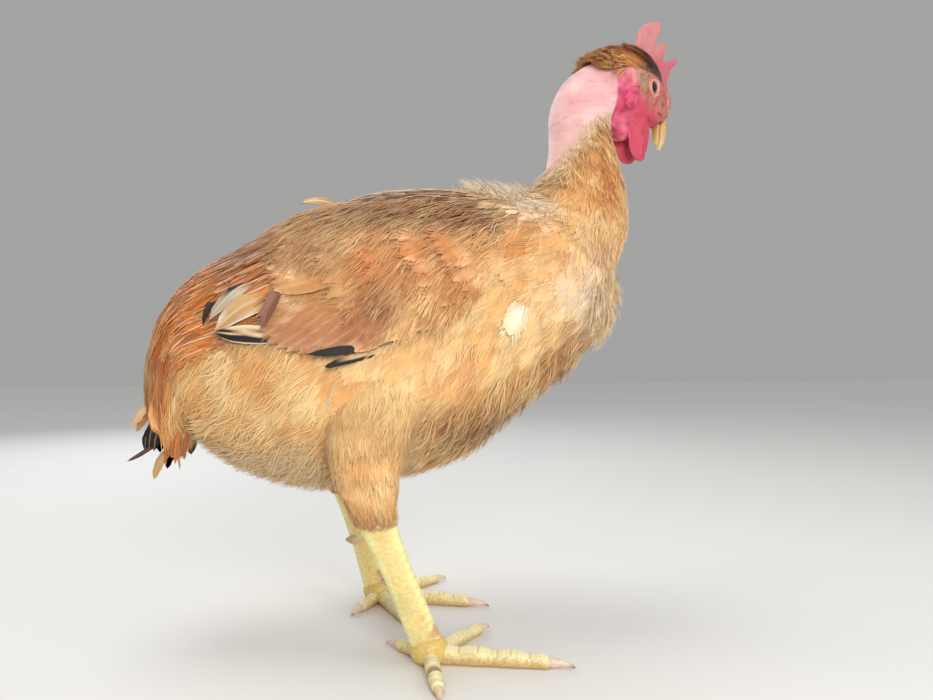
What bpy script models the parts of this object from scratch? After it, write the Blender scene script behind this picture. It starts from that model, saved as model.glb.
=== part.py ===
"""A naked-neck cockerel that stands still, life size, as a museum would show it.

Metres, +Z up. The floor is z = 0, the bird heads along +X and its left side is +Y. The tables below are in
millimetres from a spot on the floor under the body. At the end all is moved by ORIGIN, so that the part's
origin lies on the floor under the middle of its box.
"""
import math
import random

import bmesh
import bpy
import numpy as np
from mathutils import Vector

# Driving dimensions
MM = 0.001
GAP = 0.3 * MM                      # air kept between two pieces that meet
SEED = 11                           # the small differences between feathers
ORIGIN = Vector((45.65, -6.9, 0)) * MM   # middle of the whole bird's box, seen from above

# Body stations from the nape to the tail's tips, in mm: back x, back z, belly x, belly z, half width, and
# the share of the head's turn that the neck still has there
BODY_STATIONS = [
    (160, 419, 174.5, 373, 18.5, 0.8),
    (141, 403, 173.5, 367.5, 20.5, 0.5),
    (131.5, 381, 176, 358, 22, 0.25),
    (130, 353, 182, 341, 24, 0.08),
    (126, 333, 187.5, 316, 27, 0),
    (118, 321.5, 188, 289, 32, 0),
    (106, 315.5, 178, 263, 39, 0),
    (86, 315.5, 177, 239, 50, 0),
    (60, 316.5, 168, 214, 60, 0),
    (28, 316, 139, 188, 66.5, 0),
    (-6, 311, 101, 158, 69, 0),
    (-38, 301, 60, 127, 69, 0),
    (-66, 287, 10, 114, 67, 0),
    (-91, 272, -42, 109, 62.5, 0),
    (-114, 258, -86, 121, 54, 0),
    (-132, 243, -117, 140, 44, 0),
    (-146, 222, -123, 146, 36, 0),
    (-153, 198, -126, 146, 29, 0),
    (-155, 172, -129, 142, 23, 0),
    (-151, 150, -131, 136, 19, 0),
    (-145, 133, -136, 128, 13, 0),
]
NECK_BASE = 7                       # station where the neck meets the torso
TAIL_ROOT = 16                      # station where the torso meets the tail
EGG = 0.06                          # how much wider the body is above its middle than below

# Head: its middle, how far it nods and turns, and its stations in its own frame (x to the beak, z up)
HEAD_MIDDLE = Vector((197.2, 11.1, 405.0)) * MM
HEAD_NOD = math.radians(30)
HEAD_TURN = math.radians(25)
HEAD_STATIONS = [
    (-25, 16, -4, -33, 16.5),
    (-14, 22, 2, -31, 16.5),
    (0, 25, 9, -27, 16),
    (14, 26, 16, -22, 15),
    (26, 23, 22, -17, 12.5),
    (35, 17, 28, -13, 9.5),
    (40, 10, 33, -10.5, 7),
    (43, 4.5, 36, -9, 5.5),
]
EYE_PLACE = (10.2, 10.6, 5.6)       # middle of the eyeball in the head's frame, mirrored for the other side
EYE_RADIUS = 5.6
LID_RADII = (5.3, 4.5, 1.5)         # the lids' ring: along the head, across it, and its thickness
EAR_PLACE = (-6.5, 0.5)
EAR_RADII = (4.2, 4.6, 1.5)
LOBE_PLACE = (-4.5, -15.5)
LOBE_RADII = (6.0, 3.2, 11.5)
WATTLE_ROOT = ((5, -27), (27, -15))  # from where to where each wattle grows along the jaw
WATTLE_DROP = 33
WATTLE_OUT = 7.6
WATTLE_THICK = 2.1

# Comb: its edge from rear to front, and the line on the skull that it stands on
COMB_EDGE = [
    (-9, 25), (-14.5, 38), (-14.5, 52), (-8, 63), (1.6, 71.5), (4.5, 60), (6.5, 52), (11, 58), (15.5, 62),
    (17.5, 54), (19, 46), (25, 53), (31, 58.5), (30.5, 48), (31, 40), (37, 38), (38, 31), (42.5, 27.5),
    (44.5, 17), (43.5, 9),
]
COMB_BASE = [(-5, 19), (6, 20), (18, 20), (28, 15), (38, 3)]
COMB_THICK = (2.4, 1.6, 0.55)       # half thickness at the base, half way and at the edge

# Beak: the ridge, the mouth line and the half width from the base to the tip
UPPER_BEAK = [(43.2, 4.0, 38.6, -4.4, 5.2), (47.6, -1.6, 41.9, -8.6, 4.5), (50.6, -9.2, 45.0, -13.2, 3.2),
              (51.3, -15.5, 48.0, -17.4, 1.7), (50.5, -20.4, 50.2, -20.4, 0.2)]
LOWER_BEAK = [(38.1, -4.9, 36.3, -8.7, 4.4), (40.9, -9.3, 38.4, -13.0, 3.9), (44.0, -14.2, 42.2, -16.8, 2.6),
              (45.6, -16.9, 45.2, -17.6, 0.5)]

# Legs: hock, ankle, and the heading and length of each toe, numbered from the hind toe outwards
SIDES = {
    "right": dict(sign=-1, hock=(-6, -65, 98), ankle=(28, -65, 13), headings=(125, 47, -17, -91),
                  lengths=(22, 54, 70, 42)),
    "left": dict(sign=1, hock=(-21, 63, 98), ankle=(4, 65, 13), headings=(-122, -74, -21, 38),
                 lengths=(22, 50, 66, 58)),
}
SHANK_RADII = [(0.0, 12.2, 9.2), (0.12, 11.2, 8.0), (0.3, 9.8, 6.9), (0.6, 9.2, 6.6), (0.85, 9.8, 7.4),
               (1.0, 10.6, 8.6)]    # share of the way down, half depth, half width
SHANK_PLATES = 9
SHANK_SIDES = 12
PLATE_RISE = 0.55
TOE_HALF_WIDTHS = (4.6, 5.0, 5.8, 5.0)
TOE_PLATES = (2, 5, 7, 5)
CLAW_LENGTHS = (14, 12.5, 16, 12)
CLAW_RADIUS = 2.9
PAD_RADIUS = 12.5
PAD_HEIGHT = 19
SPUR_LENGTH = 8
SPUR_RADIUS = 4.2
THIGH_STATIONS = [(94, 12, 32, 30, 15), (68, 5, 22, 33, 21), (48, -2, 13, 27.5, 21.5), (28, -4, 4, 22.5, 19),
                  (12, -3, 0, 19, 16.5), (0, 0, 0, 14.4, 12.4)]  # above the hock, ahead, inward, half depth, half width

# Wing rows: count, half width, roots and tips as seen from the side (x, z), how far the tips bow out to the
# rear, and the lift of the tips off the body
WING_ROWS = {
    "primaries": (4, 7.8, ((24, 222), (4, 232)), ((-14, 199), (-101, 214)), 4, 5.2),
    "secondaries": (6, 8.8, ((22, 228), (-6, 264)), ((-50, 206), (-72, 258)), 34, 7.2),
    "greater_coverts": (5, 8.2, ((32, 228), (8, 270)), ((-8, 211), (-38, 264)), 14, 8.6),
    "median_coverts": (5, 8.0, ((42, 232), (24, 276)), ((14, 213), (-10, 272)), 8, 9.6),
    "lesser_coverts": (4, 8.4, ((52, 238), (40, 274)), ((30, 219), (16, 279)), 5, 9.9),
    "shoulder_coverts": (3, 9.0, ((60, 246), (53, 268)), ((43, 228), (36, 284)), 4, 8.6),
    "scapulars": (3, 8.2, ((24, 276), (8, 280)), ((-46, 270), (-40, 289)), 4, 8.6),
}
WING_CORE = dict(middle=(25, 251), radii=(42, 28), turn=12, rise=6.5)
WING_TILT = math.radians(7)

# Saddle hackles in rows: count, station and widest angle of the roots, stations of the tips, half width, lift
SADDLE_ROWS = [
    (10, 15.0, 96, 20.2, 5.2, (-3.0, 0.9)),
    (9, 13.6, 72, 18.6, 5.4, (-3.0, 2.4)),
    (7, 12.2, 48, 16.6, 5.6, (-3.0, 3.9)),
]
SADDLE_TILT = math.radians(6)

# Tail rows: count on each side, station of the roots, first and last angle off the back, stations of the
# tips, half width, lift of roots and tips
TAIL_ROWS = [
    (5, 16.9, (12, 128), 20.8, 6.4, (-9.0, -4.6)),
    (3, 16.6, (14, 100), 19.6, 7.4, (-7.0, -1.4)),
]
TAIL_TILT = math.radians(11)

# Neck rows from the throat down: count, station of the roots, half angle that the row covers about the
# front, station of the tips, half width
NECK_ROWS = [
    (3, 1.5, 44, 3.2, 6.8),
    (4, 2.7, 76, 4.4, 7.6),
    (5, 3.9, 112, 5.6, 8.4),
    (7, 5.0, 158, 6.9, 9.2),
    (8, 6.1, 164, 8.2, 10.2),
]
CROWN_ROWS = [(4, 1.9, 60, 31, 5.0), (3, 0.9, 64, 33, 6.4), (2, 0.1, 34, 24, 6.8)]

# Colour, roughness for each sort of surface
FINISHES = {
    "buff_feather": ((0.78, 0.45, 0.19), 0.75),
    "gold_feather": ((0.72, 0.33, 0.10), 0.6),
    "copper_feather": ((0.60, 0.22, 0.06), 0.5),
    "tail_feather": ((0.28, 0.12, 0.05), 0.55),
    "bare_skin": ((0.86, 0.55, 0.52), 0.5),
    "face_skin": ((0.76, 0.13, 0.25), 0.5),
    "comb_skin": ((0.88, 0.33, 0.36), 0.45),
    "lid_skin": ((0.85, 0.50, 0.47), 0.5),
    "eye": ((0.05, 0.02, 0.01), 0.05),
    "beak_horn": ((0.83, 0.60, 0.24), 0.35),
    "claw_horn": ((0.82, 0.70, 0.60), 0.35),
    "leg_scale": ((0.88, 0.74, 0.25), 0.4),
}


def start_clean():
    for old in list(bpy.data.objects):
        bpy.data.objects.remove(old, do_unlink=True)


def finish_of(name):
    """The finish's material, made at its first use."""
    material = bpy.data.materials.get(name)
    if material is None:
        colour, roughness = FINISHES[name]
        material = bpy.data.materials.new(name)
        material.use_nodes = True
        shader = material.node_tree.nodes["Principled BSDF"]
        shader.inputs["Base Color"].default_value = (*colour, 1.0)
        shader.inputs["Roughness"].default_value = roughness
        shader.inputs["Metallic"].default_value = 0.0
    return material


def new_object(name, points, faces, finish=None):
    """An object made of a closed mesh whose faces are turned outward."""
    mesh = bpy.data.meshes.new(name)
    mesh.from_pydata([tuple(p) for p in points], [], faces)
    form = bmesh.new()
    form.from_mesh(mesh)
    if form.calc_volume(signed=True) < 0:
        bmesh.ops.reverse_faces(form, faces=form.faces)
    form.to_mesh(mesh)
    form.free()
    mesh.update()
    made = bpy.data.objects.new(name, mesh)
    bpy.context.scene.collection.objects.link(made)
    if finish:
        mesh.materials.append(finish_of(finish))
    return made


def ring_faces(rings, count):
    """Quads between rings of points, with each end closed by a fan about its middle point."""
    faces = []
    for r in range(rings - 1):
        for k in range(count):
            n = (k + 1) % count
            faces.append((r * count + k, r * count + n, (r + 1) * count + n, (r + 1) * count + k))
    first, last = rings * count, rings * count + 1
    top = (rings - 1) * count
    for k in range(count):
        n = (k + 1) % count
        faces.append((first, n, k))
        faces.append((last, top + k, top + n))
    return faces


def skin_rings(name, rings, finish=None):
    """A closed body through rings that all have the same number of points."""
    rings = [np.asarray(ring) for ring in rings]
    points = np.vstack(rings + [rings[0].mean(axis=0)[None], rings[-1].mean(axis=0)[None]])
    return new_object(name, points, ring_faces(len(rings), len(rings[0])), finish)


def keep_largest(made):
    """Keep only the closed surface with the largest volume. Shells that only share an edge count as apart."""
    form = bmesh.new()
    form.from_mesh(made.data)
    left = set(form.faces)
    shells = []
    while left:
        first = left.pop()
        shell, queue = [first], [first]
        while queue:
            for edge in queue.pop().edges:
                for face in edge.link_faces:
                    if face in left and len(edge.link_faces) == 2:
                        left.discard(face)
                        shell.append(face)
                        queue.append(face)
        shells.append(shell)
    shells.sort(key=lambda shell: abs(shell_volume(shell)), reverse=True)
    drop = [face for shell in shells[1:] for face in shell]
    bmesh.ops.delete(form, geom=drop, context="FACES")
    form.to_mesh(made.data)
    form.free()


def shell_volume(shell):
    total = 0.0
    for face in shell:
        corners = [vert.co for vert in face.verts]
        for b, c in zip(corners[1:], corners[2:]):
            total += corners[0].dot(b.cross(c)) / 6
    return total


def apply_boolean(made, others, operation, solver):
    """Apply one Boolean with all the others at once, and remove them."""
    group = bpy.data.collections.new("tools")
    bpy.context.scene.collection.children.link(group)
    for other in others:
        group.objects.link(other)
    step = made.modifiers.new("step", "BOOLEAN")
    step.operand_type = "COLLECTION"
    step.collection = group
    step.operation = operation
    step.solver = solver
    graph = bpy.context.evaluated_depsgraph_get()
    graph.update()
    mesh = bpy.data.meshes.new_from_object(made.evaluated_get(graph))
    made.modifiers.clear()
    mesh.materials.clear()
    for material in made.data.materials:
        mesh.materials.append(material)
    made.data = mesh
    for other in others:
        bpy.data.objects.remove(other, do_unlink=True)
    bpy.data.collections.remove(group)
    keep_largest(made)
    return made


def fuse(core, pieces, solver="MANIFOLD"):
    return apply_boolean(core, pieces, "UNION", solver)


def cut(made, cutters, solver="MANIFOLD"):
    return apply_boolean(made, cutters, "DIFFERENCE", solver)


class Form:
    """A rounded form through stations. Each station is an oval between a top and a bottom point.

    A place on it is a station number s, which may lie between two stations, and an angle about the oval:
    0 at the top, 90 degrees on the left side, 180 at the bottom. The stations are joined by smooth
    Catmull-Rom curves.
    """

    def __init__(self, tops, bottoms, half_widths, sideways, egg=0.0):
        self.rows = np.hstack([tops, bottoms, np.asarray(half_widths)[:, None], sideways])
        self.egg = egg

    def station(self, s):
        """Top, bottom, half width and sideways direction at each of the places s."""
        s = np.clip(np.asarray(s, float), 0, len(self.rows) - 1)
        i = np.minimum(s.astype(int), len(self.rows) - 2)
        t = (s - i)[..., None]
        a, b, c, d = (self.rows[np.clip(i + k, 0, len(self.rows) - 1)] for k in (-1, 0, 1, 2))
        row = b + 0.5 * t * (c - a + t * (2 * a - 5 * b + 4 * c - d + t * (3 * (b - c) + d - a)))
        side = row[..., 7:10]
        side = side / np.linalg.norm(side, axis=-1, keepdims=True)
        return row[..., 0:3], row[..., 3:6], row[..., 6:7], side

    def bare(self, s, angle):
        top, bottom, half, side = self.station(s)
        turn = np.radians(np.asarray(angle, float))[..., None]
        across = half * np.sin(turn) * (1 + self.egg * np.cos(turn))
        return (top + bottom) / 2 + (top - bottom) / 2 * np.cos(turn) + side * across

    def normal(self, s, angle):
        """Outward direction, from how the surface runs along s and about the oval."""
        s, angle = np.broadcast_arrays(np.asarray(s, float), np.asarray(angle, float))
        along = self.bare(s + 0.02, angle) - self.bare(s - 0.02, angle)
        about = self.bare(s, angle + 1.0) - self.bare(s, angle - 1.0)
        found = np.cross(along, about)
        found /= np.maximum(np.linalg.norm(found, axis=-1, keepdims=True), 1e-12)
        top, bottom, _, _ = self.station(s)
        outward = self.bare(s, angle) - (top + bottom) / 2
        return found * np.sign(np.sum(found * outward, axis=-1, keepdims=True))

    def point(self, s, angle, lift=0.0):
        lift = np.asarray(lift, float)[..., None] if np.ndim(lift) else lift
        return self.bare(s, angle) + self.normal(s, angle) * lift

    def ring(self, s, count, lift=0.0, flat=False):
        """Points round the station s. A flat ring keeps its lift inside the station's plane."""
        places, angles = np.full(count, float(s)), np.arange(count) * 360.0 / count
        if not flat:
            return self.point(places, angles, lift)
        outward, plane = self.normal(places, angles), self.facing(s)
        outward = outward - (outward @ plane)[:, None] * plane
        outward /= np.linalg.norm(outward, axis=1, keepdims=True)
        return self.bare(places, angles) + outward * lift

    def facing(self, s):
        """The direction in which a station's plane looks, towards higher stations."""
        top, bottom, _, side = self.station(float(s))
        plane = np.cross(side, top - bottom)
        plane /= np.linalg.norm(plane)
        before, after = max(s - 0.3, 0.0), min(s + 0.3, len(self.rows) - 1.0)
        ahead = sum(self.station(after)[:2]) - sum(self.station(before)[:2])
        return plane * np.sign(np.dot(plane, ahead))

    def locate(self, x, z, low, high):
        """Station and angle of the left-side surface point seen at (x, z) from the side."""
        places = np.linspace(low, high, 121)
        top, bottom, _, _ = self.station(places)
        down = bottom - top
        miss = down[:, 0] * (z - top[:, 2]) - down[:, 2] * (x - top[:, 0])
        k = int(np.argmin(np.abs(miss)))
        share = ((x - top[k, 0]) * down[k, 0] + (z - top[k, 2]) * down[k, 2]) / (down[k, 0] ** 2 + down[k, 2] ** 2)
        return places[k], math.degrees(math.acos(max(-0.985, min(0.985, 1 - 2 * share))))


# Frame of the head: ahead to the beak, left, and up through the comb
AHEAD = Vector((math.cos(HEAD_NOD) * math.cos(HEAD_TURN), math.cos(HEAD_NOD) * math.sin(HEAD_TURN),
                -math.sin(HEAD_NOD)))
LEFT = Vector((-math.sin(HEAD_TURN), math.cos(HEAD_TURN), 0))
UP = AHEAD.cross(LEFT)


def head_point(x, y, z):
    """A place in the head's frame, in mm, as a world point."""
    return HEAD_MIDDLE + (AHEAD * x + LEFT * y + UP * z) * MM


def make_head_form(rows):
    tops = np.array([head_point(row[0], 0, row[1]) for row in rows])
    bottoms = np.array([head_point(row[2], 0, row[3]) for row in rows])
    return Form(tops, bottoms, np.array([row[4] for row in rows]) * MM, np.array([LEFT] * len(rows)))


def make_body_form():
    """The neck, torso and tail in one run of stations that starts on the head's rear face."""
    first = HEAD_STATIONS[0]
    tops, bottoms = [head_point(first[0], 0, first[1])], [head_point(first[2], 0, first[3])]
    halves, sideways = [first[4] * MM], [LEFT]
    for back_x, back_z, belly_x, belly_z, half, share in BODY_STATIONS:
        tops.append(Vector((back_x * MM, tops[0].y * share, back_z * MM)))
        bottoms.append(Vector((belly_x * MM, bottoms[0].y * share, belly_z * MM)))
        halves.append(half * MM)
        turn = HEAD_TURN * share
        sideways.append(Vector((-math.sin(turn), math.cos(turn), 0)))
    return Form(np.array(tops), np.array(bottoms), halves, np.array(sideways), EGG)


HEAD = make_head_form(HEAD_STATIONS)
BODY = make_body_form()


def body_span(name, stations, count, lifts, finish, gap_at=None):
    """A length of the body as a closed solid with flat ends, its first end moved on by the gap if asked."""
    ends = (stations[0], stations[-1])
    rings = [BODY.ring(s, count, lift * MM, s in ends) for s, lift in zip(stations, lifts)]
    if gap_at is not None:
        rings[0] = rings[0] + BODY.facing(gap_at) * GAP
    return skin_rings(name, rings, finish)


# Feathers: a vane is a thin four-sided blade that is thickest along its shaft
LONG_SHAPE = ((0.0, 0.35), (0.22, 0.78), (0.5, 1.0), (0.76, 0.95), (0.93, 0.6), (1.0, 0.0))
COVERT_SHAPE = ((0.0, 0.5), (0.4, 1.0), (0.8, 0.85), (1.0, 0.0))
HACKLE_SHAPE = ((0.0, 0.5), (0.25, 0.9), (0.55, 1.0), (0.82, 0.62), (1.0, 0.0))
VANE_HALF_THICK = 0.55 * MM


def vane(points, normals, shape, half_width, tilt=0.0, camber=0.08):
    """A blade along points. Both of its faces are split alike, so that they can't cross.

    The edges lie half_width * shape to each side, tilted about the shaft and lowered by the camber. The
    shaft line stands VANE_HALF_THICK above and below.
    """
    points, normals = np.asarray(points), np.asarray(normals)
    along = np.gradient(points, axis=0)
    along /= np.linalg.norm(along, axis=1, keepdims=True)
    across = np.cross(along, normals)
    across /= np.linalg.norm(across, axis=1, keepdims=True)
    up = np.cross(across, along)
    leaned = across * math.cos(tilt) + up * math.sin(tilt)
    lifted = up * math.cos(tilt) - across * math.sin(tilt)
    verts = []
    for k in range(len(points) - 1):
        reach = half_width * shape[k][1]
        thick = VANE_HALF_THICK * (1.15 - 0.45 * shape[k][0])
        low = lifted[k] * camber * reach
        verts += [points[k] - leaned[k] * reach - low, points[k] + lifted[k] * thick,
                  points[k] + leaned[k] * reach - low, points[k] - lifted[k] * thick]
    verts.append(points[-1])
    faces = [(0, 1, 3), (1, 2, 3)]
    for k in range(len(points) - 2):
        left, top, right, under = (4 * k + j for j in range(4))
        left2, top2, right2, under2 = (4 * k + 4 + j for j in range(4))
        faces += [(left, top2, top), (left, left2, top2), (right, top, top2), (right, top2, right2),
                  (left, under, under2), (left, under2, left2), (right, under2, under), (right, right2, under2)]
    k, tip = 4 * (len(points) - 2), len(verts) - 1
    faces += [(k + j, (tip), k + (j + 1) % 4) for j in range(4)]
    return new_object("vane", verts, [tuple(face) for face in faces])


def vane_on(form, places, lifts, shape, half_width, tilt):
    """A blade whose shaft follows places (station, angle) on a form at the given lifts."""
    s = np.array([place[0] for place in places])
    angle = np.array([place[1] for place in places])
    return vane(form.point(s, angle, np.array(lifts)), form.normal(s, angle), shape, half_width, tilt)


def spread(count, low, high):
    """Evenly spaced values from low to high."""
    return [low + (high - low) * (k + 0.5) / count for k in range(count)]


def shape_shares(shape):
    return [share for share, _ in shape]


def saddle_vanes(chance):
    """Hackles that grow from the back and drape over the rump and the tail."""
    vanes = []
    for count, root, widest, tip, half_width, (low, high) in SADDLE_ROWS:
        for k, angle in enumerate(spread(count, -widest, widest)):
            end = tip + chance.uniform(-0.25, 0.25) - 0.6 * abs(angle) / 96
            fan = angle * (1.12 + 0.1 * chance.random())
            places = [(root + (end - root) * t, angle + (fan - angle) * t) for t in shape_shares(HACKLE_SHAPE)]
            lifts = [(low + (high - low) * min(1, t / 0.3)) * MM for t in shape_shares(HACKLE_SHAPE)]
            lean = SADDLE_TILT if angle > 0 else -SADDLE_TILT
            vanes.append(vane_on(BODY, places, lifts, HACKLE_SHAPE, half_width * MM, lean))
    return vanes


def make_torso(chance):
    stations = [NECK_BASE, 7.5, 8, 8.7, 9.5, 10.4, 11.3, 12.2, 13, 13.8, 14.5, 15.2, TAIL_ROOT]
    core = body_span("torso", stations, 22, [0] * len(stations), "buff_feather", NECK_BASE)
    return fuse(core, saddle_vanes(chance))


def grown_torso(extra):
    """The torso without feathers, grown by extra millimetres, to cut its neighbours with."""
    stations = [NECK_BASE - 0.02, 7.5, 8, 8.7, 9.5, 10.4, 11.3, 12.2, 13, 13.8, 14.5, 15.2, TAIL_ROOT]
    return body_span("cutter", stations, 22, [extra] * len(stations), None)


def make_neck(chance):
    stations = [0, 0.8, 1.7, 2.6, 3.5, 4.4, 5.6, NECK_BASE]
    lifts = [0, 0, 0, -0.7, -1.5, -2, -2, -2]
    core = body_span("neck", stations, 18, lifts, "bare_skin", 0)
    vanes = []
    for count, root, reach, tip, half_width in NECK_ROWS:
        for angle in spread(count, 180 - reach, 180 + reach):
            end = tip + chance.uniform(-0.2, 0.15)
            places = [(root + (end - root) * t, angle) for t in shape_shares(COVERT_SHAPE)]
            lifts = [(-4.0 + 6.8 * t) * MM for t in shape_shares(COVERT_SHAPE)]
            lean = SADDLE_TILT if angle < 180 else -SADDLE_TILT
            vanes.append(vane_on(BODY, places, lifts, COVERT_SHAPE, half_width * MM, lean))
    return cut(fuse(core, vanes), [grown_torso(0.3)])


def make_tail(chance):
    stations = [TAIL_ROOT, 16.6, 17.2, 17.8]
    core = body_span("tail", stations, 16, [-4, -5, -8, -12], "tail_feather", TAIL_ROOT)
    vanes = []
    for side in (1, -1):
        for count, root, (near, far), tip, half_width, (low, high) in TAIL_ROWS:
            for angle in spread(count, near, far):
                end = tip + chance.uniform(-0.2, 0.2)
                places = [(root + (end - root) * t, side * angle) for t in shape_shares(LONG_SHAPE)]
                lifts = [(low + (high - low) * t) * MM for t in shape_shares(LONG_SHAPE)]
                vanes.append(vane_on(BODY, places, lifts, LONG_SHAPE, half_width * MM, side * TAIL_TILT))
    return fuse(core, vanes)


def wing_core(side):
    """A low pad on the flank that the wing's feathers grow from, sunk into the body and cut there."""
    count, rings = 18, []
    turn = math.radians(WING_CORE["turn"])
    rise = WING_CORE["rise"]
    for reach, lift in ((0.05, -3), (1.0, -3), (1.0, 1.0), (0.8, 0.55 * rise), (0.45, 0.9 * rise), (0.05, rise)):
        ring = []
        for k in range(count):
            a = 2 * math.pi * k / count
            u, v = reach * WING_CORE["radii"][0] * math.cos(a), reach * WING_CORE["radii"][1] * math.sin(a)
            x = WING_CORE["middle"][0] + u * math.cos(turn) - v * math.sin(turn)
            z = WING_CORE["middle"][1] + u * math.sin(turn) + v * math.cos(turn)
            s, angle = BODY.locate(x * MM, z * MM, 7.2, 16)
            ring.append(BODY.point(s, side * angle, lift * MM))
        rings.append(ring)
    return rings


def core_lift(x, z):
    """How far the wing's core stands off the body at (x, z), less the depth that a root is sunk."""
    turn = math.radians(WING_CORE["turn"])
    dx, dz = x - WING_CORE["middle"][0], z - WING_CORE["middle"][1]
    u = (dx * math.cos(turn) + dz * math.sin(turn)) / WING_CORE["radii"][0]
    v = (dz * math.cos(turn) - dx * math.sin(turn)) / WING_CORE["radii"][1]
    return WING_CORE["rise"] * max(0.0, 1 - u * u - v * v) - 1.4


def make_wing(word, side, chance):
    """Flight feathers and coverts in tiers, laid over one another towards the tip."""
    core = skin_rings(f"wing_{word}", wing_core(side), "gold_feather")
    vanes = []
    for row, (count, half_width, roots, tips, bow, high) in WING_ROWS.items():
        shape = LONG_SHAPE if row in ("primaries", "secondaries") else COVERT_SHAPE
        for k in range(count):
            t = k / (count - 1)
            root = Vector(roots[0]).lerp(Vector(roots[1]), t)
            tip = Vector(tips[0]).lerp(Vector(tips[1]), t)
            tip.x -= bow * math.sin(math.pi * t) + chance.uniform(-1.5, 1.5)
            places = []
            for share in shape_shares(shape):
                spot = root.lerp(tip, share)
                s, angle = BODY.locate(spot.x * MM, spot.y * MM, 7.2, 17.5)
                places.append((s, side * angle))
            low = core_lift(root.x, root.y)
            lifts = [(low + (high - low) * share) * MM for share in shape_shares(shape)]
            vanes.append(vane_on(BODY, places, lifts, shape, half_width * MM, -side * WING_TILT))
    return cut(fuse(core, vanes), [grown_torso(0.3)])


def make_head():
    """Skull and face with eye sockets and the line of the mouth cut in."""
    stations = [0, 0.6, 1.2, 1.9, 2.6, 3.3, 4, 4.7, 5.4, 6.2, 7]
    head = skin_rings("head", [HEAD.ring(s, 18) for s in stations], "face_skin")
    cutters = []
    for side in (1, -1):
        cutters.append(ball("socket", eye_centre(side), EYE_RADIUS + 0.3, 12, 6))
        places = [(3.4, 128), (4.4, 118), (5.4, 112), (6.4, 108), (7, 106)]
        path = [HEAD.point(s, side * angle, 0.2 * MM) for s, angle in places]
        cutters.append(tube("mouth", path, [0.3, 0.7, 0.8, 0.8, 0.8], 5))
    return cut(head, cutters)


def ball(name, middle, radius, around, rings, finish=None):
    """A ball of radius in mm from stacked rings."""
    stack = []
    for k in range(rings + 1):
        lean = math.pi * min(max(k / rings, 0.02), 0.98)
        ring = [Vector((math.sin(lean) * math.cos(2 * math.pi * j / around),
                        math.sin(lean) * math.sin(2 * math.pi * j / around), math.cos(lean)))
                for j in range(around)]
        stack.append([middle + p * radius * MM for p in ring])
    return skin_rings(name, stack, finish)


def tube(name, path, radii, sides, finish=None, flat=1.0):
    """A round rod through path with a radius in mm at each point, flattened along z by flat."""
    path = [Vector(p) for p in path]
    rings = []
    for k, middle in enumerate(path):
        along = (path[min(k + 1, len(path) - 1)] - path[max(k - 1, 0)]).normalized()
        across = along.cross(Vector((0, 0, 1)))
        across = across.normalized() if across.length > 1e-6 else Vector((0, 1, 0))
        up = across.cross(along)
        turn = [2 * math.pi * j / sides for j in range(sides)]
        rings.append([middle + (across * math.cos(a) + up * math.sin(a) * flat) * radii[k] * MM for a in turn])
    return skin_rings(name, rings, finish)


def eye_centre(side):
    x, y, z = EYE_PLACE
    return head_point(x, side * y, z)


def grown_head(extra):
    stations = [0, 0.6, 1.2, 1.9, 2.6, 3.3, 4, 4.7, 5.4, 6.2, 7]
    return skin_rings("cutter", [HEAD.ring(s, 18, extra * MM) for s in stations])


def hoop(name, middle, outward, radii, thick, finish):
    """A ring with an oval run about middle, facing outward. Radii and thickness in mm."""
    outward = Vector(outward).normalized()
    first = (AHEAD - outward * AHEAD.dot(outward)).normalized()
    second = outward.cross(first)
    around, sides = 15, 6
    points, faces = [], []
    for k in range(around):
        a = 2 * math.pi * k / around
        spoke = first * math.cos(a) * radii[0] + second * math.sin(a) * radii[1]
        out = spoke.normalized()
        for j in range(sides):
            b = 2 * math.pi * j / sides
            points.append(middle + (spoke + (out * math.cos(b) + outward * math.sin(b)) * thick) * MM)
            n, m = (k + 1) % around, (j + 1) % sides
            faces.append((k * sides + j, n * sides + j, n * sides + m, k * sides + m))
    return new_object(name, points, faces, finish)


def make_eye(word, side):
    """Eyeball, and the ring of lids that stands round it on the skin."""
    middle = eye_centre(side)
    ball(f"eye_{word}", middle, EYE_RADIUS, 12, 6, "eye")
    outward = LEFT * side * 0.95 + AHEAD * 0.26 + UP * 0.05
    lids = hoop(f"eyelids_{word}", middle + outward.normalized() * 4.3 * MM, outward, LID_RADII[:2], LID_RADII[2],
                "lid_skin")
    cut(lids, [grown_head(0.3), ball("cutter", middle, EYE_RADIUS + 0.3, 12, 6)])


def side_angle(s, x, z):
    """Angle of the head's left surface point at station s that lies nearest to (x, z) in its frame."""
    spot = head_point(x, 0, z)
    top, bottom, _, _ = HEAD.station(s)
    share = np.dot(np.array(spot) - top, bottom - top) / np.dot(bottom - top, bottom - top)
    return math.degrees(math.acos(max(-1, min(1, 1 - 2 * share))))


def make_ear(word, side):
    """The cup of the ear, and the soft lobe that hangs below it."""
    s_cup, s_lobe = 0.9, 1.25
    cup = HEAD.point(s_cup, side * side_angle(s_cup, *EAR_PLACE))
    ear = hoop(f"ear_{word}", Vector(cup), LEFT * side, EAR_RADII[:2], EAR_RADII[2] + 0.3, "face_skin")
    lobe_middle = Vector(HEAD.point(s_lobe, side * side_angle(s_lobe, *LOBE_PLACE)))
    rings = []
    for k in range(9):
        lean = math.pi * min(max(k / 8, 0.03), 0.97)
        ring = []
        for j in range(12):
            a = 2 * math.pi * j / 12
            ring.append(lobe_middle + (AHEAD * math.sin(lean) * math.cos(a) * LOBE_RADII[0]
                                       + LEFT * math.sin(lean) * math.sin(a) * LOBE_RADII[1]
                                       + UP * math.cos(lean) * LOBE_RADII[2]) * MM)
        rings.append(ring)
    lobe = skin_rings("lobe", rings)
    cut(fuse(ear, [lobe]), [grown_head(0.3)])


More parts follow.
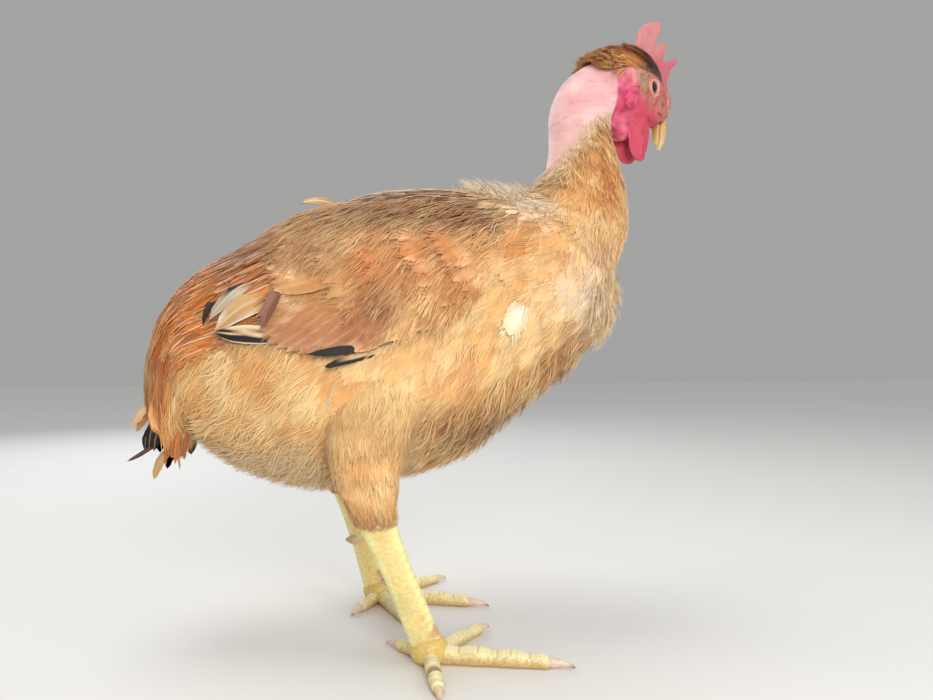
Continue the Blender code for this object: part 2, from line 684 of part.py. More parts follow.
def make_wattle(word, side):
    """A thin lobe of skin with upright folds that hangs from the jaw."""
    rings, count = [], 16
    (rear_x, rear_z), (front_x, front_z) = WATTLE_ROOT
    for share, width in ((0, 0.8), (0.15, 0.92), (0.35, 1.0), (0.6, 0.98), (0.8, 0.82), (0.93, 0.55), (1, 0.2)):
        ring = []
        for j in range(count):
            a = 2 * math.pi * j / count
            u = 0.5 + 0.5 * math.cos(a) * width
            root = head_point(rear_x + (front_x - rear_x) * u, side * WATTLE_OUT * (1 - 0.35 * u),
                              rear_z + (front_z - rear_z) * u)
            fold = 1.1 * math.sin(3 * math.pi * u + 0.6) * min(1, 4 * share)
            thick = WATTLE_THICK * (1 - 0.3 * share) * math.sin(a)
            drop = Vector((0, 0, 6 - share * (WATTLE_DROP + 6))) * MM
            ring.append(root + drop + LEFT * (thick + fold) * MM)
        rings.append(ring)
    wattle = skin_rings(f"wattle_{word}", rings, "face_skin")
    cut(wattle, [grown_head(0.3)])


def make_comb():
    """A single upright comb: a thin blade that thins from the skull to its toothed edge."""
    rings = []
    for k, (x, z) in enumerate(COMB_EDGE):
        share = k / (len(COMB_EDGE) - 1) * (len(COMB_BASE) - 1)
        i = min(int(share), len(COMB_BASE) - 2)
        base = Vector(COMB_BASE[i]).lerp(Vector(COMB_BASE[i + 1]), share - i)
        edge = Vector((x, z))
        ring = []
        for height, thick in zip((0.0, 0.5, 1.0), COMB_THICK):
            spot = base.lerp(edge, height)
            ring.append(head_point(spot.x, thick, spot.y))
        for height, thick in zip((1.0, 0.5, 0.0), reversed(COMB_THICK)):
            spot = base.lerp(edge, height)
            ring.append(head_point(spot.x, -thick, spot.y))
        rings.append(ring)
    return cut(skin_rings("comb", rings, "comb_skin"), [grown_head(0.3)])


def grown_comb():
    """The comb's foot, a little thicker, to part the crown feathers with."""
    rings = []
    for x, low, high in ((-11, 14, 40), (0, 15, 44), (15, 15, 44), (30, 10, 40), (45, 0, 30)):
        half = COMB_THICK[0] + 0.4
        rings.append([head_point(x, half, low), head_point(x, half, high), head_point(x, -half, high),
                      head_point(x, -half, low)])
    return skin_rings("cutter", rings)


def make_beak():
    for name, rows in (("beak_upper", UPPER_BEAK), ("beak_lower", LOWER_BEAK)):
        form = make_head_form(rows)
        stations = [0, 0.4, 0.8, 1.2, 1.6, 2, 2.5, 3, len(rows) - 1]
        stations = sorted({s for s in stations if s <= len(rows) - 1})
        rings = [form.ring(s, 10) for s in stations]
        rings[0] = rings[0] + np.array(HEAD_PLANE) * GAP
        beak = skin_rings(name, rings, "beak_horn")
        if name == "beak_upper":
            spots = [head_point(43.4, side * 4.4, 0.2) for side in (1, -1)]
            cut(beak, [ball("nostril", spot, 1.25, 7, 4) for spot in spots])


HEAD_PLANE = HEAD.facing(len(HEAD_STATIONS) - 1.5)


def make_crown(chance):
    """Feathers of the crown, swept back past the nape on both sides of the comb."""
    rings = []
    for s, half in ((0.15, 52), (0.8, 60), (1.6, 62), (2.4, 58), (3.1, 46), (3.5, 30)):
        outer = [HEAD.point(s, angle, 1.6 * MM) for angle in np.linspace(-half, half, 7)]
        inner = [HEAD.point(s, angle, -1.2 * MM) for angle in np.linspace(half, -half, 7)]
        rings.append(np.array(outer + inner))
    core = skin_rings("crown_feathers", rings, "copper_feather")
    vanes = []
    for count, root, reach, length, half_width in CROWN_ROWS:
        for angle in spread(count, -reach, reach):
            start = Vector(HEAD.point(root, angle, -0.4 * MM))
            out = Vector(HEAD.normal(root, angle))
            points, normals = [], []
            grow = length * chance.uniform(0.9, 1.12)
            for t in shape_shares(COVERT_SHAPE):
                ahead = -AHEAD * grow * t
                rise = out * (2.6 * math.sin(0.5 * math.pi * min(1, 2.2 * t)))
                fall = Vector((0, 0, -1)) * grow * 0.2 * t * t
                points.append(start + (ahead + rise + fall) * MM)
                normals.append(out)
            vanes.append(vane(points, normals, COVERT_SHAPE, half_width * MM))
    cut(fuse(core, vanes), [grown_head(0.3), grown_comb(), grown_neck_top()])


def grown_neck_top():
    """The bare neck behind the head, grown, so that the crown feathers clear it."""
    stations = [0, 0.8, 1.7, 2.6]
    return body_span("cutter", stations, 18, [0.4] * 4, None)


def leg_axis(leg):
    hock, ankle = Vector(leg["hock"]) * MM, Vector(leg["ankle"]) * MM
    return hock, ankle, (ankle - hock).normalized()


def leg_ring(middle, down, depth, width, sides, plate=0.0):
    """An oval across a leg. The plate raises its front half."""
    side = Vector((0, 1, 0))
    front = side.cross(down).normalized()
    if front.x < 0:
        front = -front
    ring = []
    for j in range(sides):
        a = 2 * math.pi * j / sides
        raised = plate * max(0.0, math.cos(a)) ** 0.5
        ring.append(middle + (front * (depth + raised) * math.cos(a) + side * (width + raised) * math.sin(a)) * MM)
    return ring


def shank_size(share):
    """Half depth and half width of the shank at a share of its way down."""
    shares = [row[0] for row in SHANK_RADII]
    return (float(np.interp(share, shares, [row[1] for row in SHANK_RADII])),
            float(np.interp(share, shares, [row[2] for row in SHANK_RADII])))


def make_shank(word, leg):
    """The yellow shank, with a row of overlapping plates down its front, and its spur."""
    hock, ankle, down = leg_axis(leg)
    length = (ankle - hock).length
    rings = [leg_ring(hock, down, *shank_size(0), SHANK_SIDES)]
    for k in range(SHANK_PLATES):
        low, high = (k + 0.12) / SHANK_PLATES, (k + 0.94) / SHANK_PLATES
        rings.append(leg_ring(hock + down * length * low, down, *shank_size(low), SHANK_SIDES))
        rings.append(leg_ring(hock + down * length * high, down, *shank_size(high), SHANK_SIDES, PLATE_RISE))
    rings.append(leg_ring(ankle, down, *shank_size(1.0), SHANK_SIDES))
    shank = skin_rings(f"shank_{word}", rings, "leg_scale")
    cut(shank, [pad_body("cutter", leg, 0.3)])
    share = 0.56
    depth, width = shank_size(share)
    root = hock + down * length * share
    out = Vector((-0.86, -leg["sign"] * 0.5, 0.05)).normalized()
    reach = 0.5 * (depth + width)
    path = [root + out * (reach - 4) * MM, root + out * (reach + 1) * MM,
            root + out * (reach + SPUR_LENGTH * 0.55) * MM, root + out * (reach + SPUR_LENGTH) * MM + Vector((0, 0, MM))]
    spur = tube(f"spur_{word}", path, [SPUR_RADIUS, SPUR_RADIUS * 0.95, SPUR_RADIUS * 0.65, 0.5], 10, "claw_horn")
    cut(spur, [grown_shank(leg)])


def grown_shank(leg):
    hock, ankle, down = leg_axis(leg)
    rings = []
    for share in (0, 0.2, 0.4, 0.6, 0.8, 1.0):
        depth, width = shank_size(share)
        rings.append(leg_ring(hock.lerp(ankle, share), down, depth + 0.3, width + 0.3, SHANK_SIDES, PLATE_RISE))
    return skin_rings("cutter", rings)


def make_thigh(word, leg):
    """The feathered drumstick, from the flank down to the hock."""
    hock, _, down = leg_axis(leg)
    rings = []
    for above, ahead, inward, depth, width in THIGH_STATIONS:
        middle = hock + Vector((ahead, -leg["sign"] * inward, above)) * MM
        rings.append(leg_ring(middle, Vector((0, 0, -1)), depth, width, 18))
    last = leg_ring(hock - down * GAP, down, THIGH_STATIONS[-1][3], THIGH_STATIONS[-1][4], 18)
    rings[-1] = last
    thigh = skin_rings(f"thigh_{word}", rings, "buff_feather")
    cut(thigh, [grown_torso(0.3)])


def pad_body(name, leg, extra=0.0, finish=None):
    """The ball of the foot that the toes and the shank meet, flat below."""
    middle = Vector((leg["ankle"][0] + 2, leg["ankle"][1], 0)) * MM
    rings = []
    for height, reach in ((0, 0.84), (0.18, 1.0), (0.5, 1.0), (0.8, 0.8), (1.0, 0.45)):
        z = height * PAD_HEIGHT + (extra if height > 0 else -4 * extra)
        r = reach * PAD_RADIUS + extra
        rings.append([middle + Vector((r * math.cos(a), r * 0.92 * math.sin(a), z)) * MM
                      for a in (2 * math.pi * j / 14 for j in range(14))])
    return skin_rings(name, rings, finish)


def heading_vector(degrees):
    return Vector((math.cos(math.radians(degrees)), math.sin(math.radians(degrees)), 0))


def toe_ring(middle, heading, half_width, half_height, raised):
    """A toe's outline, flat where it would pass below the floor."""
    across = Vector((-heading.y, heading.x, 0))
    ring = []
    for j in range(9):
        a = 2 * math.pi * j / 9
        lift = raised * max(0.0, math.cos(a)) ** 0.5
        spot = middle + (across * (half_width + lift) * math.sin(a)
                         + Vector((0, 0, 1)) * (half_height + lift) * math.cos(a)) * MM
        spot.z = max(spot.z, 0.0)
        ring.append(spot)
    return ring


def toe_size(number, share):
    """Half width and half height of a toe at a share of its length."""
    half = TOE_HALF_WIDTHS[number]
    swell = 1 + 0.06 * math.cos(2 * math.pi * share * (2 if number < 2 else 3))
    return half * (1 - 0.22 * share) * swell, half * (1.12 - 0.36 * share) * swell


def make_toe(word, leg, number):
    """A toe with raised plates along its top, and the claw at its end."""
    heading = heading_vector(leg["headings"][number])
    start = Vector((leg["ankle"][0] + 2, leg["ankle"][1], 0)) * MM + heading * (PAD_RADIUS - 5) * MM
    length, plates = leg["lengths"][number], TOE_PLATES[number]
    rings = []

    def add(share, raised):
        half_width, half_height = toe_size(number, share)
        middle = start + heading * length * share * MM + Vector((0, 0, half_height * 0.86)) * MM
        rings.append(toe_ring(middle, heading, half_width, half_height, raised))

    add(0.0, 0.0)
    for k in range(plates):
        add(0.08 + 0.9 * (k + 0.1) / plates, 0.0)
        add(0.08 + 0.9 * (k + 0.94) / plates, PLATE_RISE)
    add(1.0, 0.0)
    toe = skin_rings(f"toe_{word}_{number + 1}", rings, "leg_scale")
    cut(toe, [pad_body("cutter", leg, 0.3)])
    _, height = toe_size(number, 1.0)
    root = start + heading * (length * MM + GAP) + Vector((0, 0, height * 0.98)) * MM
    claw_length = CLAW_LENGTHS[number]
    path, radii = [], []
    for k in range(5):
        t = k / 4
        sweep = math.radians(78) * t
        ahead = claw_length * math.sin(sweep) / math.sin(math.radians(78))
        fall = (height * 0.98 - 0.7) * (1 - math.cos(sweep)) / (1 - math.cos(math.radians(78)))
        path.append(root + heading * ahead * MM - Vector((0, 0, fall)) * MM)
        radii.append(CLAW_RADIUS * (1 - 0.86 * t ** 1.2) * (0.9 if number != 2 else 1.1))
    claw(f"claw_{word}_{number + 1}", path, radii, heading)


def claw(name, path, radii, heading):
    """A curved horn claw whose first ring is upright, against the end of its toe."""
    across = Vector((-heading.y, heading.x, 0))
    rings = []
    for k, middle in enumerate(path):
        along = (path[min(k + 1, len(path) - 1)] - path[max(k - 1, 0)]).normalized() if k else heading
        up = across.cross(along) if across.cross(along).z > 0 else along.cross(across)
        turn = [2 * math.pi * j / 7 for j in range(7)]
        ring = [middle + (across * 0.8 * math.cos(a) + up * math.sin(a)) * radii[k] * MM for a in turn]
        for spot in ring:
            spot.z = max(spot.z, 0.0)
        rings.append(ring)
    skin_rings(name, rings, "claw_horn")


def finish_pieces():
    """Move every piece to the part's origin and shade its round surfaces smooth."""
    for made in bpy.context.scene.collection.objects:
        points = np.empty(len(made.data.vertices) * 3)
        made.data.vertices.foreach_get("co", points)
        made.data.vertices.foreach_set("co", (points.reshape(-1, 3) - np.array(ORIGIN)).ravel())
        made.data.shade_smooth()
        made.data.set_sharp_from_angle(angle=math.radians(35))


def main():
    start_clean()
    chance = random.Random(SEED)
    make_torso(chance)
    make_neck(chance)
    make_tail(chance)
    make_head()
    make_comb()
    make_beak()
    make_crown(chance)
    for word, leg in SIDES.items():
        side = leg["sign"]
        make_eye(word, side)
        make_ear(word, side)
        make_wattle(word, side)
        make_wing(word, side, chance)
        make_thigh(word, leg)
        make_shank(word, leg)
        pad_body(f"foot_{word}", leg, 0.0, "leg_scale")
        for number in range(4):
            make_toe(word, leg, number)
    finish_pieces()


main()
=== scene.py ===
# %% [markdown]
# # A naked-neck cockerel in skin, feather and horn
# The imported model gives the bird's size and the place of each part. Here it gets what a museum's maker would
# add: bare skin with its folds, scaled legs, glassy eyes, and a coat of separate feathers laid like roof tiles.
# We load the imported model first, because every new piece has to sit where its solids are.

# %% Load the frame
import math

import bpy
import numpy as np
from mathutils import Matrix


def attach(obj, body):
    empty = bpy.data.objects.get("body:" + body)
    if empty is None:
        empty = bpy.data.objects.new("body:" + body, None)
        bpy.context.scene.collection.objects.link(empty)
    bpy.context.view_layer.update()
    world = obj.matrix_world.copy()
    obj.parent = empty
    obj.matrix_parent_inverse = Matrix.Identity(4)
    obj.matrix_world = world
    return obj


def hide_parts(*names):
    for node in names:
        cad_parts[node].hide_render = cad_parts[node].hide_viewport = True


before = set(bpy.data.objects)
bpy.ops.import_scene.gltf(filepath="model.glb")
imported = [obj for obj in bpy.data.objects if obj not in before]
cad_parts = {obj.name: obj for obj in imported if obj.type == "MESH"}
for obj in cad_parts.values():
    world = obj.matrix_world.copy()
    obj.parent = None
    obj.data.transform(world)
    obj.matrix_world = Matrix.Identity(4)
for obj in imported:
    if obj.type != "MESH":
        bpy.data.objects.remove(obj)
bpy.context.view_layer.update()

# %% [markdown]
# ## Floor, light and camera
# A photographer would stand the bird on pale paper under large soft lamps. The camera is level and low, a step
# to the bird's right and a little behind its breast, with a lens slightly wider than the eye's view. A plain
# plane and four soft lamps do it, because the studio must not draw the eye away from the bird.

# %% Studio
def aim(obj, place, target):
    """Put a lamp at place, with its own -Z pointing at target."""
    away = np.asarray(place, float) - np.asarray(target, float)
    obj.location = place
    obj.rotation_euler = (math.atan2(math.hypot(away[0], away[1]), away[2]), 0,
                          math.atan2(away[0], -away[1]))
    return obj


def lamp(name, place, target, size, power, colour):
    light = bpy.data.lights.new(name, "AREA")
    light.shape, light.size, light.energy, light.color = "DISK", size, power, colour
    made = bpy.data.objects.new(name, light)
    bpy.context.scene.collection.objects.link(made)
    return aim(made, place, target)


view = bpy.data.cameras.new("camera")
view.sensor_width, view.lens = 36.0, 29.904          # 775 px of focal length across 933 px
camera = bpy.data.objects.new("camera", view)
camera.location = (-0.07885, -0.5559, 0.2018)
camera.rotation_euler = (math.radians(90), 0, math.radians(-10))
bpy.context.scene.collection.objects.link(camera)
bpy.context.scene.camera = camera
bpy.context.scene.view_settings.view_transform = "Standard"

HEART = (0.0, 0.0, 0.24)
lamp("lamp_key", (0.10, -1.25, 0.62), HEART, 0.6, 9.2, (1.0, 0.97, 0.92))
lamp("lamp_front", (1.1, -0.7, 0.75), HEART, 0.9, 3.6, (1.0, 0.99, 0.97))
lamp("lamp_top", (-0.3, 0.1, 1.5), HEART, 0.8, 6.5, (1.0, 0.98, 0.95))
lamp("lamp_back", (-0.5, 1.2, 0.9), HEART, 1.0, 6, (0.96, 0.98, 1.0))
world = bpy.data.worlds.new("studio")
world.use_nodes = True
world.node_tree.nodes["Background"].inputs["Color"].default_value = (0.84, 0.84, 0.83, 1)
backdrop = world.node_tree.nodes["Background"].inputs["Strength"]
ray = world.node_tree.nodes.new("ShaderNodeLightPath")            # the eye sees the far wall as dark as the far floor
seen = world.node_tree.nodes.new("ShaderNodeMapRange")
seen.inputs["To Min"].default_value, seen.inputs["To Max"].default_value = 0.56, 0.44
world.node_tree.links.new(ray.outputs["Is Camera Ray"], seen.inputs["Value"])
world.node_tree.links.new(seen.outputs["Result"], backdrop)
bpy.context.scene.world = world
print("camera", tuple(round(v, 3) for v in camera.location), "and four lamps")

# %% [markdown]
# ## Numbers into meshes
# Every form below is worked out as whole numpy arrays, in millimetres on the maker's bench. One helper moves
# them to the frame, in metres, and puts points and faces into a mesh in one go. Points and faces as arrays are
# much quicker than adding them one by one.

# %% Helpers for meshes and colours
ORIGIN = np.array([45.65, -6.9, 0.0])     # the frame's origin on the bench, mm
DARKEST = 0.002                           # no hide or feather is quite black


def paint(red, green, blue):
    """A colour as seen on a screen, 0 to 255, turned to the linear values that shaders use."""
    share = np.array([red, green, blue], float) / 255
    return np.where(share <= 0.04045, share / 12.92, ((share + 0.055) / 1.055) ** 2.4)


def new_mesh(name, points, quads, tris):
    """A mesh of four-sided and three-sided faces from arrays in bench millimetres."""
    mesh = bpy.data.meshes.new(name)
    quads, tris = np.asarray(quads, int).reshape(-1, 4), np.asarray(tris, int).reshape(-1, 3)
    corners = np.concatenate([quads.ravel(), tris.ravel()])
    starts = np.concatenate([np.arange(len(quads)) * 4, len(quads) * 4 + np.arange(len(tris)) * 3])
    totals = np.concatenate([np.full(len(quads), 4), np.full(len(tris), 3)])
    mesh.vertices.add(len(points))
    mesh.vertices.foreach_set("co", ((np.asarray(points) - ORIGIN) * 0.001).astype(np.float32).ravel())
    mesh.loops.add(len(corners))
    mesh.loops.foreach_set("vertex_index", corners.astype(np.int32))
    mesh.polygons.add(len(starts))
    mesh.polygons.foreach_set("loop_start", starts.astype(np.int32))
    mesh.polygons.foreach_set("loop_total", totals.astype(np.int32))
    mesh.update(calc_edges=True)
    mesh.shade_smooth()
    return mesh


def add_uv(mesh, name, values):
    """A UV map from one (u, v) for each point."""
    corners = np.empty(len(mesh.loops), np.int32)
    mesh.loops.foreach_get("vertex_index", corners)
    mesh.uv_layers.new(name=name).data.foreach_set("uv", np.asarray(values, np.float32)[corners].ravel())


def add_tint(mesh, values):
    """A colour and one more value for each point, that materials read by the name Tint."""
    layer = mesh.attributes.new("Tint", "FLOAT_COLOR", "POINT")
    layer.data.foreach_set("color", np.asarray(values, np.float32).ravel())


def opaque(tones, least=0.0):
    """Colours kept between least and 1, with a full fourth value."""
    return np.hstack([np.clip(tones, least, 1), np.ones((len(tones), 1))])


def show(name, mesh, material, nodes=()):
    """Put a finished piece in the scene: it rides on the bird's one body and stands for its solids."""
    made = bpy.data.objects.new(name, mesh)
    bpy.context.scene.collection.objects.link(made)
    mesh.materials.append(material)
    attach(made, "root")
    if nodes:
        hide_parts(*nodes)
    count = len(mesh.loops) - 2 * len(mesh.polygons)
    print(name, count, "triangles")
    return made


# %% [markdown]
# ## Noise
# Skin has pimples and folds, and no two feathers are alike. Both need numbers that look random but are the same
# each run. A hash of a lattice cell gives such numbers: blended between corners they make soft clouds, and the
# distance to a point hidden in each cell makes pebbles.

# %% Clouds and pebbles
def hashed(cells, seed):
    """A fixed number from 0 to 1 for each whole-numbered cell."""
    mix = (cells[..., 0] * 73856093) ^ (cells[..., 1] * 19349663) ^ (cells[..., 2] * 83492791)
    mix = mix ^ np.int64(seed * 2654435761 % 2147483647)
    mix = (mix ^ (mix >> 13)) * 1274126177
    return ((mix ^ (mix >> 16)) & 0xFFFF) / 65535.0


def clouds(points, size, seed=0):
    """Soft noise from -1 to 1: the eight corners of each cell, blended with s*s*(3-2s) along each axis."""
    where = np.asarray(points, float) / size
    base = np.floor(where).astype(np.int64)
    share = where - base
    share = share * share * (3 - 2 * share)
    total = np.zeros(where.shape[:-1])
    for corner in range(8):
        step = np.array([corner & 1, corner >> 1 & 1, corner >> 2 & 1])
        weight = np.prod(np.where(step, share, 1 - share), axis=-1)
        total += weight * hashed(base + step, seed)
    return total * 2 - 1


def pebbles(points, size, seed=0):
    """Distance to the nearest of the points hidden one to a cell, in cells: 0 on a pebble, about 0.6 between."""
    where = np.asarray(points, float) / size
    base = np.floor(where).astype(np.int64)
    best = np.full(where.shape[:-1], 9.0)
    for k in range(27):
        cell = base + np.array([k % 3 - 1, k // 3 % 3 - 1, k // 9 - 1])
        spot = cell + 0.15 + 0.7 * np.stack([hashed(cell, seed + j) for j in (1, 2, 3)], axis=-1)
        best = np.minimum(best, np.sum((spot - where) ** 2, axis=-1))
    return np.sqrt(best)


def ease(value, low, high):
    """0 below low, 1 above high, and a smooth step between."""
    share = np.clip((np.asarray(value, float) - low) / (high - low), 0, 1)
    return share * share * (3 - 2 * share)


def blend(first, second, share):
    """First colour where share is 0, second where it is 1."""
    share = np.asarray(share)[..., None]
    return first * (1 - share) + second * share


print("noise between", np.round(clouds(np.random.default_rng(1).uniform(0, 99, (999, 3)), 7).min(), 2), "and 1")

# %% [markdown]
# ## The body as one smooth form
# Under the feathers a bird is a run of ovals from beak to tail. Each oval lies between a point on the back and a
# point on the belly, and smooth curves join the ovals. A place on the bird is then two numbers: how far along
# it is, and the angle round it. Feathers, skin and colours all use these two, so that they agree.

# %% The form through stations
# back x, back z, belly x, belly z, half width, and the share of the head's turn that is left there
BODY_STATIONS = [
    (160, 419, 174.5, 373, 18.5, 0.8), (141, 403, 173.5, 367.5, 20.5, 0.5), (131.5, 381, 176, 358, 22, 0.25),
    (130, 353, 182, 341, 24, 0.08), (126, 333, 187.5, 316, 27, 0), (118, 321.5, 188, 289, 32, 0),
    (106, 315.5, 178, 263, 39, 0), (86, 315.5, 177, 239, 50, 0), (60, 316.5, 168, 214, 60, 0),
    (28, 316, 139, 188, 66.5, 0), (-6, 311, 101, 158, 69, 0), (-38, 301, 60, 127, 69, 0),
    (-66, 287, 10, 114, 67, 0), (-91, 272, -42, 109, 62.5, 0), (-114, 258, -86, 121, 54, 0),
    (-132, 243, -117, 140, 44, 0), (-146, 222, -123, 146, 36, 0), (-153, 198, -126, 146, 29, 0),
    (-155, 172, -129, 142, 23, 0), (-151, 150, -131, 136, 19, 0), (-145, 133, -136, 128, 13, 0)]
HEAD_MIDDLE, NOD, TURN = np.array([197.2, 11.1, 405.0]), math.radians(30), math.radians(25)
# in the head's own frame: top x, top z, bottom x, bottom z, half width
HEAD_STATIONS = [(-25, 16, -4, -33, 16.5), (-14, 22, 2, -31, 16.5), (0, 25, 9, -27, 16), (14, 26, 16, -22, 15),
                 (26, 23, 22, -17, 12.5), (35, 17, 28, -13, 9.5), (40, 10, 33, -10.5, 7), (43, 4.5, 36, -9, 5.5)]
AHEAD = np.array([math.cos(NOD) * math.cos(TURN), math.cos(NOD) * math.sin(TURN), -math.sin(NOD)])
LEFT = np.array([-math.sin(TURN), math.cos(TURN), 0.0])
UP = np.cross(AHEAD, LEFT)


def in_head(x, y, z):
    """Places in the head's frame (towards the beak, left, up through the comb) on the bench."""
    x, y, z = np.broadcast_arrays(np.asarray(x, float), y, z)
    return HEAD_MIDDLE + x[..., None] * AHEAD + y[..., None] * LEFT + z[..., None] * UP


def from_head(points):
    """Bench places in the head's frame."""
    away = np.asarray(points) - HEAD_MIDDLE
    return away @ AHEAD, away @ LEFT, away @ UP


class Form:
    """Ovals between a top and a bottom point. A place is a station s and an angle: 0 on top, 90 on the left."""

    def __init__(self, tops, bottoms, halves, sideways, egg=0.0):
        self.rows = np.hstack([tops, bottoms, np.asarray(halves, float)[:, None], sideways])
        self.egg = egg

    def station(self, s):
        """Catmull-Rom: a cubic through each pair of stations that leaves them in line with their neighbours."""
        s = np.clip(np.asarray(s, float), 0, len(self.rows) - 1)
        i = np.minimum(s.astype(int), len(self.rows) - 2)
        t = (s - i)[..., None]
        a, b, c, d = (self.rows[np.clip(i + k, 0, len(self.rows) - 1)] for k in (-1, 0, 1, 2))
        row = b + 0.5 * t * (c - a + t * (2 * a - 5 * b + 4 * c - d + t * (3 * (b - c) + d - a)))
        side = row[..., 7:10] / np.linalg.norm(row[..., 7:10], axis=-1, keepdims=True)
        return row[..., 0:3], row[..., 3:6], row[..., 6:7], side

    def bare(self, s, angle):
        """Middle + half the height * cos(angle) + half the width * sin(angle), a little wider above."""
        top, bottom, half, side = self.station(s)
        turn = np.radians(np.asarray(angle, float))[..., None]
        across = half * np.sin(turn) * (1 + self.egg * np.cos(turn))
        return (top + bottom) / 2 + (top - bottom) / 2 * np.cos(turn) + side * across

    def normal(self, s, angle):
        """Outward: the cross product of how the surface runs along and about."""
        s, angle = np.broadcast_arrays(np.asarray(s, float), np.asarray(angle, float))
        found = np.cross(self.bare(s + 0.02, angle) - self.bare(s - 0.02, angle),
                         self.bare(s, angle + 1.0) - self.bare(s, angle - 1.0))
        found /= np.maximum(np.linalg.norm(found, axis=-1, keepdims=True), 1e-12)
        top, bottom, _, _ = self.station(s)
        outward = self.bare(s, angle) - (top + bottom) / 2
        return found * np.sign(np.sum(found * outward, axis=-1, keepdims=True))

    def point(self, s, angle, lift=0.0):
        """A place on the form, lifted off it."""
        s, angle, lift = np.broadcast_arrays(np.asarray(s, float), np.asarray(angle, float), np.asarray(lift, float))
        return self.bare(s, angle) + self.normal(s, angle) * lift[..., None]

    def pace(self, s, angle):
        """Millimetres covered by one station, and by one degree, at a place."""
        along = np.linalg.norm(self.bare(s + 0.1, angle) - self.bare(s - 0.1, angle), axis=-1)
        reach = np.minimum(s + 0.1, len(self.rows) - 1) - np.maximum(s - 0.1, 0)
        about = np.linalg.norm(self.bare(s, angle + 2) - self.bare(s, angle - 2), axis=-1)
        return np.maximum(along / np.maximum(reach, 0.02), 3.0), np.maximum(about / 4, 0.05)

    def locate(self, x, z, low, high):
        """Station and angle of the left-side place that is seen at (x, z) from the side."""
        x, z = np.asarray(x, float), np.asarray(z, float)
        places = np.linspace(low, high, 241)
        top, bottom, _, _ = self.station(places)
        down = bottom - top
        miss = down[:, 0] * (z[..., None] - top[:, 2]) - down[:, 2] * (x[..., None] - top[:, 0])
        k = np.argmin(np.abs(miss), axis=-1)
        share = ((x - top[k, 0]) * down[k, 0] + (z - top[k, 2]) * down[k, 2]) / (down[k, 0] ** 2 + down[k, 2] ** 2)
        return places[k], np.degrees(np.arccos(np.clip(1 - 2 * share, -0.985, 0.985)))


def head_form(rows):
    rows = np.array(rows, float)
    return Form(in_head(rows[:, 0], 0, rows[:, 1]), in_head(rows[:, 2], 0, rows[:, 3]), rows[:, 4],
                np.tile(LEFT, (len(rows), 1)))


def body_form():
    """The neck, trunk and tail in one run that starts on the head's rear oval."""
    first, rows = HEAD_STATIONS[0], np.array(BODY_STATIONS, float)
    top, bottom = in_head(first[0], 0, first[1]), in_head(first[2], 0, first[3])
    share = rows[:, 5]
    tops = np.vstack([top, np.stack([rows[:, 0], top[1] * share, rows[:, 1]], 1)])
    bottoms = np.vstack([bottom, np.stack([rows[:, 2], bottom[1] * share, rows[:, 3]], 1)])
    turns = np.concatenate([[TURN], TURN * share])
    sideways = np.stack([-np.sin(turns), np.cos(turns), 0 * turns], 1)
    return Form(tops, bottoms, np.concatenate([[first[4]], rows[:, 4]]), sideways, 0.06)


HEAD, BODY = head_form(HEAD_STATIONS), body_form()
print("trunk is", round(float(2 * BODY.station(11.0)[2][0])), "mm wide at its widest")

# %% [markdown]
# ## Skin
# A naked-neck's face, throat and neck are bare. The comb, wattles and ear lobes grow out of the face with no
# seam. A sculptor would fuse rough forms and then work the surface. We do the same: closed forms are laid into
# each other, a voxel remesh melts them into one, and numpy then pushes the fine points in and out.

# %% Closed forms to melt together
def rings_to_mesh(rings):
    """Quads between rings of points (rings, count, 3), and each end closed to its middle point."""
    rings = np.asarray(rings, float)
    n, count = rings.shape[:2]
    here = np.arange(n * count).reshape(n, count)
    after = np.roll(here, -1, axis=1)
    quads = np.stack([here[:-1], after[:-1], after[1:], here[1:]], -1).reshape(-1, 4)
    points = np.vstack([rings.reshape(-1, 3), rings[0].mean(0), rings[-1].mean(0)])
    tris = np.vstack([np.stack([np.full(count, n * count), after[0], here[0]], -1),
                      np.stack([np.full(count, n * count + 1), here[-1], after[-1]], -1)])
    return points, quads, tris


def ovoid(middle, radii, axes=(AHEAD, LEFT, UP), rows=20, count=28):
    """An egg: middle + sin(lean) * (cos(a), sin(a)) on two axes + cos(lean) on the third."""
    lean = np.linspace(0.04, math.pi - 0.04, rows)[:, None, None]
    a = np.linspace(0, 2 * math.pi, count, endpoint=False)[None, :, None]
    return rings_to_mesh(middle + np.sin(lean) * np.cos(a) * axes[0] * radii[0]
                         + np.sin(lean) * np.sin(a) * axes[1] * radii[1] + np.cos(lean) * axes[2] * radii[2])


def smooth_line(knots, count):
    """A Catmull-Rom curve through the knots, as count points."""
    knots = np.asarray(knots, float)
    s = np.linspace(0, len(knots) - 1, count)
    i = np.minimum(s.astype(int), len(knots) - 2)
    t = (s - i)[:, None]
    a, b, c, d = (knots[np.clip(i + k, 0, len(knots) - 1)] for k in (-1, 0, 1, 2))
    return b + 0.5 * t * (c - a + t * (2 * a - 5 * b + 4 * c - d + t * (3 * (b - c) + d - a)))


COMB_EDGE = [(-9, 25), (-14.5, 38), (-14.5, 52), (-8, 63), (1.6, 71.5), (4.5, 60), (6.5, 52), (11, 58), (15.5, 62),
             (17.5, 54), (19, 46), (25, 53), (31, 58.5), (29.5, 49.5), (27.2, 42), (29.6, 40),
             (29, 35.5), (31.4, 30.5), (34.5, 27), (38.5, 25), (41, 17), (41.5, 9)]
COMB_BASE = [(-5, 14), (6, 15), (18, 15), (28, 10), (36, 1)]


